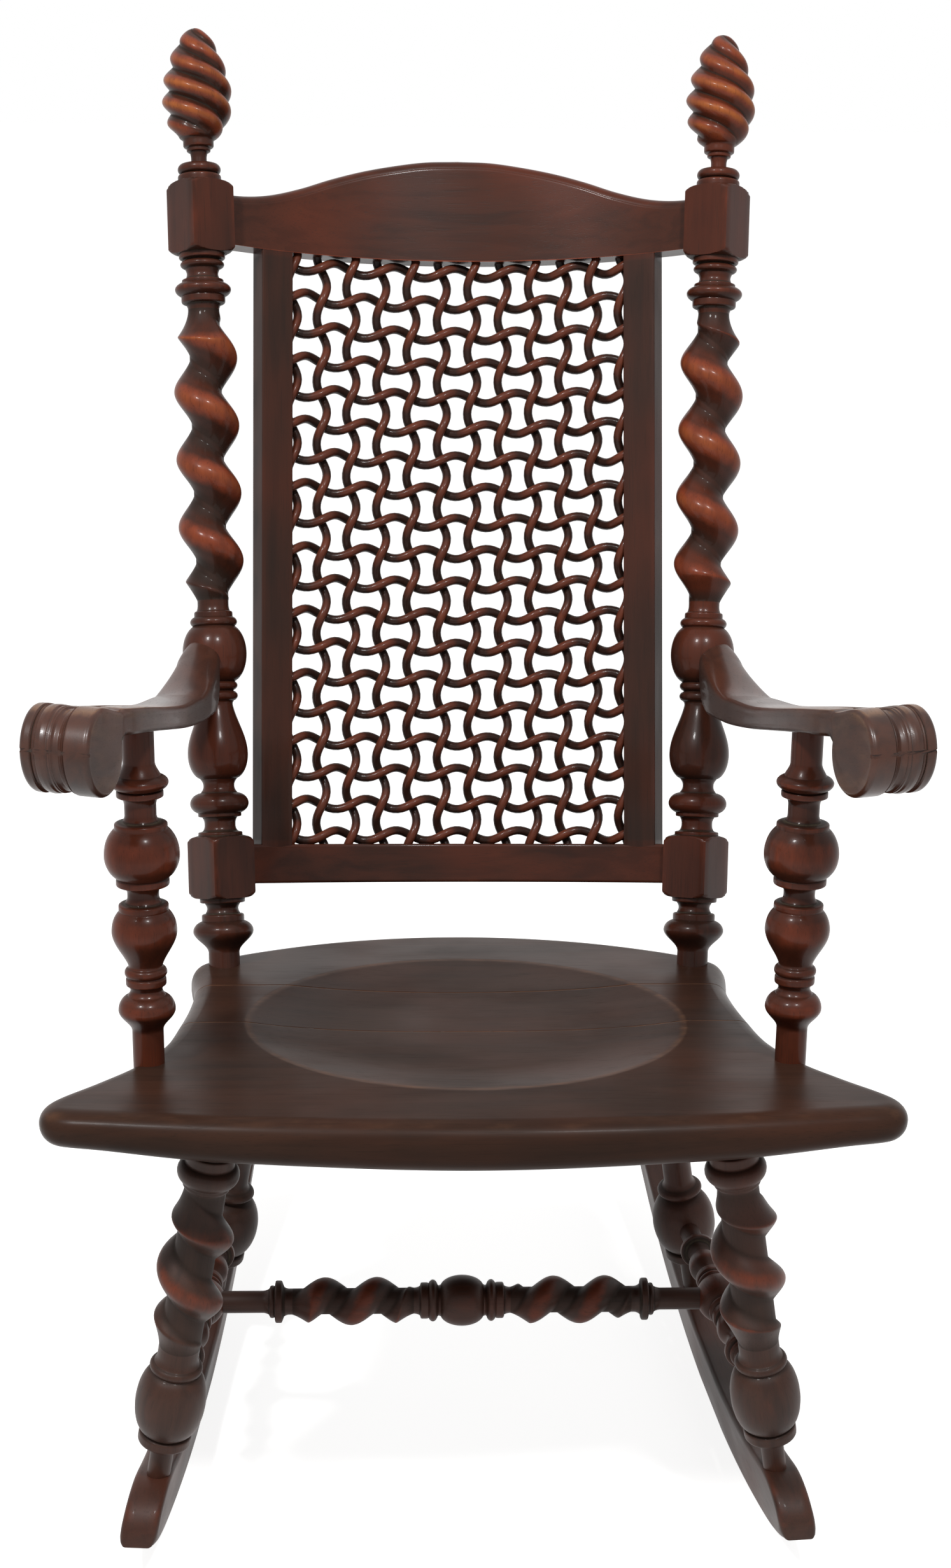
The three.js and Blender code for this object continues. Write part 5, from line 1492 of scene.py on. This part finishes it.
def arm_rings(sizes, sign):
    """Rings round the arm from the post's ball along the slab and round the roll to its front."""
    arm = sizes.chair_arm
    inverse = arm_place(sizes, 1).inverted()
    ends = np.array([inverse @ vector(*ROLL_INNER), inverse @ vector(*ROLL_OUTER)])
    ball = np.array(inverse @ (post_place(sizes, 1) @ Vector((0, 0, sizes.chair_post.arm_ball[0]))))
    width = np.linalg.norm(ends[1] - ends[0])
    axis = (ends[1] - ends[0]) / width
    ahead = np.array([axis[1], -axis[0], 0.0])
    ahead /= np.linalg.norm(ahead)
    above = np.array([0.0, 0.0, 1.0])
    radius, roll_height = arm.roll_radius, ends[:, 2].mean()
    wall_turn = pi + asin(roll_height / radius)
    wall = ends + radius * cos(wall_turn) * ahead
    wall_place = wall[:, 1].mean()
    lines = np.concatenate([arm_lines(sizes).reshape(-1, 4), wall[:, :2].reshape(1, 4)])
    lines = smooth_line(lines, 4 * MILLIMETRE).reshape(-1, 2, 2)
    slab_front = along_arm(ARM_TOP, float(wall_place))
    horn_middle, horn_height = ball[0] + arm.horn_out, ball[2] + arm.horn_up

    def slab_ring(line):
        horn_curve, cuts_start, cuts_fade = 1.45, 90 * MILLIMETRE, 60 * MILLIMETRE
        long = line[:, 1].mean()
        rise = np.clip((long - arm.horn_start) / (arm.horn_end - arm.horn_start), 0, 1)
        turn_up = np.clip((long - arm.knuckle) / (arm.horn_end - arm.knuckle), 0, 1)
        slab_top, slab_under = along_arm(ARM_TOP, long), along_arm(ARM_UNDER, long)
        crest = slab_top + (horn_height + arm.horn_radius - slab_top) * rise ** horn_curve
        under = slab_under + (horn_height - arm.horn_radius - slab_under) * (1 - sqrt(1 - turn_up ** 2))
        round_over = arm.horn_radius * ease(rise * 1.1)
        round_under = arm.horn_radius * ease(turn_up)
        cuts_share = ease((wall_place + cuts_start - long) / cuts_fade)

        def line_at(across, height):
            spots = line[0] + (line[1] - line[0]) * across[:, None]
            return np.column_stack([spots, height])

        def top_at(across, drop):
            height = crest + arm.crown * crowned(across) * (1 - rise) - round_over * bulged(across)
            return line_at(across, height - roll_cuts(across, cuts_share) - drop * (1 - rise))

        def bottom_at(across, drop):
            return line_at(across, under + round_under * bulged(across) + drop * (1 - turn_up))

        return arm_ring(top_at, bottom_at, np.linalg.norm(line[1] - line[0]), arm.rounding)

    def roll_ring(part):
        lead = 0.34
        under_turn = wall_turn + (FULL_TURN - wall_turn) * part
        over_turn = pi / 2 * (1 - max(part - lead, 0) / (1 - lead))
        back = max(1 - part / lead, 0)

        def on_roll(across, turn, cuts_share, drop):
            centre = ends[0] + (ends[1] - ends[0]) * across[:, None]
            reach = radius - roll_cuts(across, cuts_share) - drop
            return centre + reach[:, None] * (cos(turn) * ahead + sin(turn) * above)

        def top_at(across, drop):
            points = on_roll(across, over_turn, 1, drop)
            points += ahead * radius * cos(wall_turn) * back
            points[:, 2] -= (roll_height + radius - slab_front) * ease(back)
            points[:, 2] += arm.crown * crowned(across) * ease(back)
            return points

        def bottom_at(across, drop):
            return on_roll(across, under_turn, float(ease((under_turn - pi) / (pi / 2))), drop)

        return arm_ring(top_at, bottom_at, width, arm.rounding)

    rear = lines[0]
    tip_sides = (horn_middle - arm.horn_radius, horn_middle + arm.horn_radius)
    tip = np.array([[side, arm.horn_end] for side in tip_sides])
    steps = int((arm.horn_end - rear[:, 1].mean()) / (2 * MILLIMETRE))
    widening, roll_steps = 0.8, 75
    rings = []
    for part in np.linspace(0, 1, steps + 1)[:-1]:
        line = tip + (rear - tip) * part
        line[:, 0] = tip[:, 0] + (rear[:, 0] - tip[:, 0]) * sin(part * pi / 2) ** widening
        rings.append(slab_ring(line))
    rings += [slab_ring(line) for line in lines[:-1]]
    rings += [roll_ring(part) for part in np.linspace(0, 1, roll_steps + 1)[:-1]]
    return np.array(rings) * (sign, 1, 1)


class ChairLegs(bpy.types.Operator):
    """Build the twisted front legs and the turned rear legs"""
    bl_idname = "rocking_chair.legs"
    bl_label = "Legs"

    def execute(self, context):
        sizes = context.scene
        front, rear = sizes.chair_front_leg, sizes.chair_rear_leg
        for index, (name, sign) in enumerate(SIDES):
            twist = twist_of(front, sign, front.upper_flare, front.lower_flare)
            for leg, part, twists in ((front, "front_leg", (twist,)), (rear, "rear_leg", ())):
                place, reach = leg_place(sizes, leg, sign)

                def neck(along, leg=leg):
                    return np.where(along > leg.shaft_start, leg.shaft, leg.neck)

                turned_piece(f"{part}_{name}", place, turnings_of(leg), neck, -SOCKET,
                    reach + ROCKER_SOCKET, leg_wood(sizes), SEEDS[part] + index, sides=44, step=1.3,
                    twists=twists, relief=2, rub=0.2)
        return {"FINISHED"}


class ChairStretchers(bpy.types.Operator):
    """Build the turned side stretchers and the twisted cross stretcher"""
    bl_idname = "rocking_chair.stretchers"
    bl_label = "Stretchers"

    def execute(self, context):
        sizes = context.scene
        self.add_sides(sizes, sizes.chair_stretcher)
        self.add_cross(sizes, sizes.chair_stretcher)
        return {"FINISHED"}

    def add_sides(self, sizes, stretcher):
        turnings = mirrored(turnings_of(stretcher, "side_", "end_"))
        for index, (name, sign) in enumerate(SIDES):
            front = ball_point(sizes, sizes.chair_front_leg, sign)
            rear = ball_point(sizes, sizes.chair_rear_leg, sign)
            place = aimed(cross_point(sizes, sign), rear, Vector((1, 0, 0)))
            reach = (rear - front).length
            turned_piece(f"side_stretcher_{name}", place, turnings, stretcher.side_radius,
                -reach * stretcher.cross_share, reach * (1 - stretcher.cross_share), leg_wood(sizes),
                SEEDS["side_stretcher"] + index)

    def add_cross(self, sizes, stretcher):
        left, right = cross_point(sizes, -1), cross_point(sizes, 1)
        half = (right - left).length / 2
        place = aimed((left + right) / 2, right, Vector((0, 0, 1)))
        flare_out = stretcher.twist_flare
        twists = [twist_of(stretcher, sign, flare_out, flare_out) for _, sign in SIDES]
        twists[0].update({"from": -stretcher.twist_to, "to": -stretcher.twist_from})

        def neck(along):
            at_end = np.abs(along) > stretcher.shaft_start
            return np.where(at_end, stretcher.cross_shaft, stretcher.cross_neck)

        turned_piece("cross_stretcher", place, mirrored(turnings_of(stretcher, "cross_")), neck, -half, half,
            leg_wood(sizes), SEEDS["cross_stretcher"], step=1.1, twists=twists, relief=2, rub=0.25)


class ChairRockers(bpy.types.Operator):
    """Build the curved rockers"""
    bl_idname = "rocking_chair.rockers"
    bl_label = "Rockers"

    def execute(self, context):
        sizes = context.scene
        rocker = sizes.chair_rocker
        for index, (name, sign) in enumerate(SIDES):
            foot = Vector((sign * rocker_spread(rocker, rocker.contact), rocker.contact, 0))
            place = Matrix.Translation(foot) @ turn_about("Z", sign * rocker.toe_out)
            mesh = wood_mesh(f"rocker_{name}_curved", rocker_rings(rocker, sign), "Y",
                SEEDS["rocker"] + index, relief=1.5 * MILLIMETRE, rub=0.2, rounds=5)
            add_piece(mesh, f"rocker_{name}", place, leg_wood(sizes))
        return {"FINISHED"}


def rocker_rings(rocker, sign):
    """Rings from the front tip to the rear one, lower, rounder and a little narrower at both tips."""
    front = -rocker.front_reach - rocker.contact
    rear = rocker.rear_reach - rocker.contact
    tip = rocker.toe_length * (1 - np.cos(np.linspace(0, pi / 2, 14)))
    middle = even_step(front + rocker.toe_length, rear - rocker.toe_length, 6 * MILLIMETRE)[1:-1]
    half = rocker.thickness / 2
    hump_place, hump_reach = front + 55 * MILLIMETRE, 30 * MILLIMETRE
    tip_depth, tip_width, tip_rise, tip_rounding = 0.14, 0.7, 0.06, 3.4
    rings = []
    for along in np.concatenate([front + tip, middle, rear - tip[::-1]]):
        bottom = float(rocker_sag(rocker, along + rocker.contact))
        from_tip = min(along - front, rear - along)
        rounded = sqrt(max(1 - max(1 - from_tip / rocker.toe_length, 0) ** 2.2, 0))
        full = tip_depth + (1 - tip_depth) * rounded
        hump = rocker.toe_hump * float(np.exp(-((along - hump_place) / hump_reach) ** 2))
        top = bottom + rocker.depth * full + hump
        low = bottom + tip_rise * rocker.depth * (1 - rounded)
        rounding = min(rocker.rounding * (tip_rounding - (tip_rounding - 1) * rounded), (top - low) / 2.2)
        corners = ((-half, low), (half, low), (half, top), (-half, top))
        section = np.array(rounded_section(corners, rounding, 8))
        nose = sqrt(1 - max(1 - from_tip / (0.12 * rocker.toe_length), 0) ** 2)
        narrowed = tip_width + (1 - tip_width) * nose
        across = section[:, 0] * narrowed - (section[:, 1] - bottom) * tan(rocker.lean)
        rings.append(np.column_stack([sign * across, np.full(len(section), along), section[:, 1]]))
    return np.array(rings)


# Floor, light and camera
def seen_light(tree):
    """One for the camera, for mirror-like light and for light through glass, nothing for the rest."""
    path = add_node(tree, "ShaderNodeLightPath")
    seen = combined(tree, "MAXIMUM", path.outputs["Is Camera Ray"], path.outputs["Is Glossy Ray"])
    return combined(tree, "MAXIMUM", seen, path.outputs["Is Transmission Ray"])


def floor_material(studio):
    material = bpy.data.materials.new("Pale Floor")
    material.use_nodes = True
    tree = material.node_tree
    shader = tree.nodes["Principled BSDF"]
    shader.inputs["Base Color"].default_value = (*studio.floor_colour, 1)
    shader.inputs["Roughness"].default_value = 0.9
    shader.inputs["Specular IOR Level"].default_value = 0.0
    shader.inputs["Emission Color"].default_value = (1, 1, 1, 1)
    glow = scaled(tree, seen_light(tree), studio.floor_glow)
    tree.links.new(glow, shader.inputs["Emission Strength"])
    return material


def add_lamp(name, place, target, size, power):
    """Add a square lamp that faces its target."""
    lamp = bpy.data.lights.new(name, "AREA")
    lamp.shape = "SQUARE"
    lamp.size = size
    lamp.energy = power
    holder = bpy.data.objects.new(name, lamp)
    holder.location = place
    holder.rotation_mode = "QUATERNION"
    holder.rotation_quaternion = (Vector(target) - Vector(place)).to_track_quat("-Z", "Y")
    bpy.context.scene.collection.objects.link(holder)


class ChairStudio(bpy.types.Operator):
    """Build the pale floor, the soft light and the camera"""
    bl_idname = "rocking_chair.studio"
    bl_label = "Floor, Light and Camera"

    def execute(self, context):
        scene = context.scene
        studio = scene.chair_studio
        self.add_floor(scene, studio)
        self.add_light(scene, studio)
        self.add_camera(scene, studio)
        scene.view_settings.view_transform = "Standard"
        return {"FINISHED"}

    def add_floor(self, scene, studio):
        half = studio.floor_width / 2
        corners = [(-half, -half, 0), (half, -half, 0), (half, half, 0), (-half, half, 0)]
        mesh = bpy.data.meshes.new("pale_floor")
        mesh.from_pydata(corners, [], [(0, 1, 2, 3)])
        mesh.materials.append(floor_material(studio))
        floor = bpy.data.objects.new("pale_floor", mesh)
        scene.collection.objects.link(floor)

    def add_light(self, scene, studio):
        world = bpy.data.worlds.new("White Studio")
        scene.world = world
        world.use_nodes = True
        tree = world.node_tree
        background = tree.nodes["Background"]
        background.inputs["Color"].default_value = (1, 1, 1, 1)
        strength = remapped(tree, seen_light(tree), 0.0, 1.0, studio.room_light, 1.0)
        tree.links.new(strength, background.inputs["Strength"])
        chair_middle = (0, 0, 0.6)
        add_lamp("left_window", (-1.5, -1.9, 3.6), chair_middle, studio.lamp_size, studio.left_lamp)
        add_lamp("right_window", (0.7, -2.2, 3.7), chair_middle, studio.lamp_size, studio.right_lamp)

    def add_camera(self, scene, studio):
        yaw, pitch, roll = studio.camera_yaw, studio.camera_pitch, studio.camera_roll
        forward = Vector((sin(yaw) * cos(pitch), cos(yaw) * cos(pitch), -sin(pitch)))
        level = Vector((cos(yaw), -sin(yaw), 0))
        upright = level.cross(forward)
        right = level * cos(roll) + upright * sin(roll)
        above = -level * sin(roll) + upright * cos(roll)
        camera = bpy.data.cameras.new("photo_camera")
        camera.sensor_fit = "AUTO"
        camera.sensor_width = studio.sensor / MILLIMETRE
        camera.lens = studio.lens
        holder = bpy.data.objects.new("photo_camera", camera)
        place = Matrix((right, above, -forward)).transposed().to_4x4()
        place.translation = Vector((studio.camera_side, -studio.camera_distance, studio.camera_height))
        holder.matrix_world = chair_place() @ place
        scene.collection.objects.link(holder)
        scene.camera = holder


class ChairPanel(bpy.types.Panel):
    """Sizes and pieces of the rocking chair"""
    bl_idname = "VIEW3D_PT_rocking_chair"
    bl_label = "Rocking Chair"
    bl_space_type = "VIEW_3D"
    bl_region_type = "UI"
    bl_category = "Rocking Chair"

    def draw(self, context):
        column = self.layout.column(align=True)
        for operator in PIECE_OPERATORS:
            column.operator(operator.bl_idname)
        for name, group in SIZE_GROUPS.items():
            box = self.layout.box()
            for size in group.__annotations__:
                box.prop(getattr(context.scene, name), size)


PIECE_OPERATORS = (ChairSeat, ChairPosts, ChairFinials, ChairBack, ChairLattice, ChairArms, ChairLegs,
    ChairStretchers, ChairRockers, ChairStudio)


def register():
    for group in SIZE_GROUPS.values():
        bpy.utils.register_class(group)
    for name, group in SIZE_GROUPS.items():
        setattr(bpy.types.Scene, name, PointerProperty(type=group))
    for panel_class in (*PIECE_OPERATORS, ChairPanel):
        bpy.utils.register_class(panel_class)


def unregister():
    for panel_class in (ChairPanel, *PIECE_OPERATORS[::-1]):
        bpy.utils.unregister_class(panel_class)
    for name, group in SIZE_GROUPS.items():
        delattr(bpy.types.Scene, name)
        bpy.utils.unregister_class(group)


def main():
    register()
    bpy.ops.rocking_chair.seat()
    bpy.ops.rocking_chair.posts()
    bpy.ops.rocking_chair.finials()
    bpy.ops.rocking_chair.back()
    bpy.ops.rocking_chair.lattice()
    bpy.ops.rocking_chair.arms()
    bpy.ops.rocking_chair.legs()
    bpy.ops.rocking_chair.stretchers()
    bpy.ops.rocking_chair.rockers()
    bpy.ops.rocking_chair.studio()


if __name__ == "__main__":
    main()
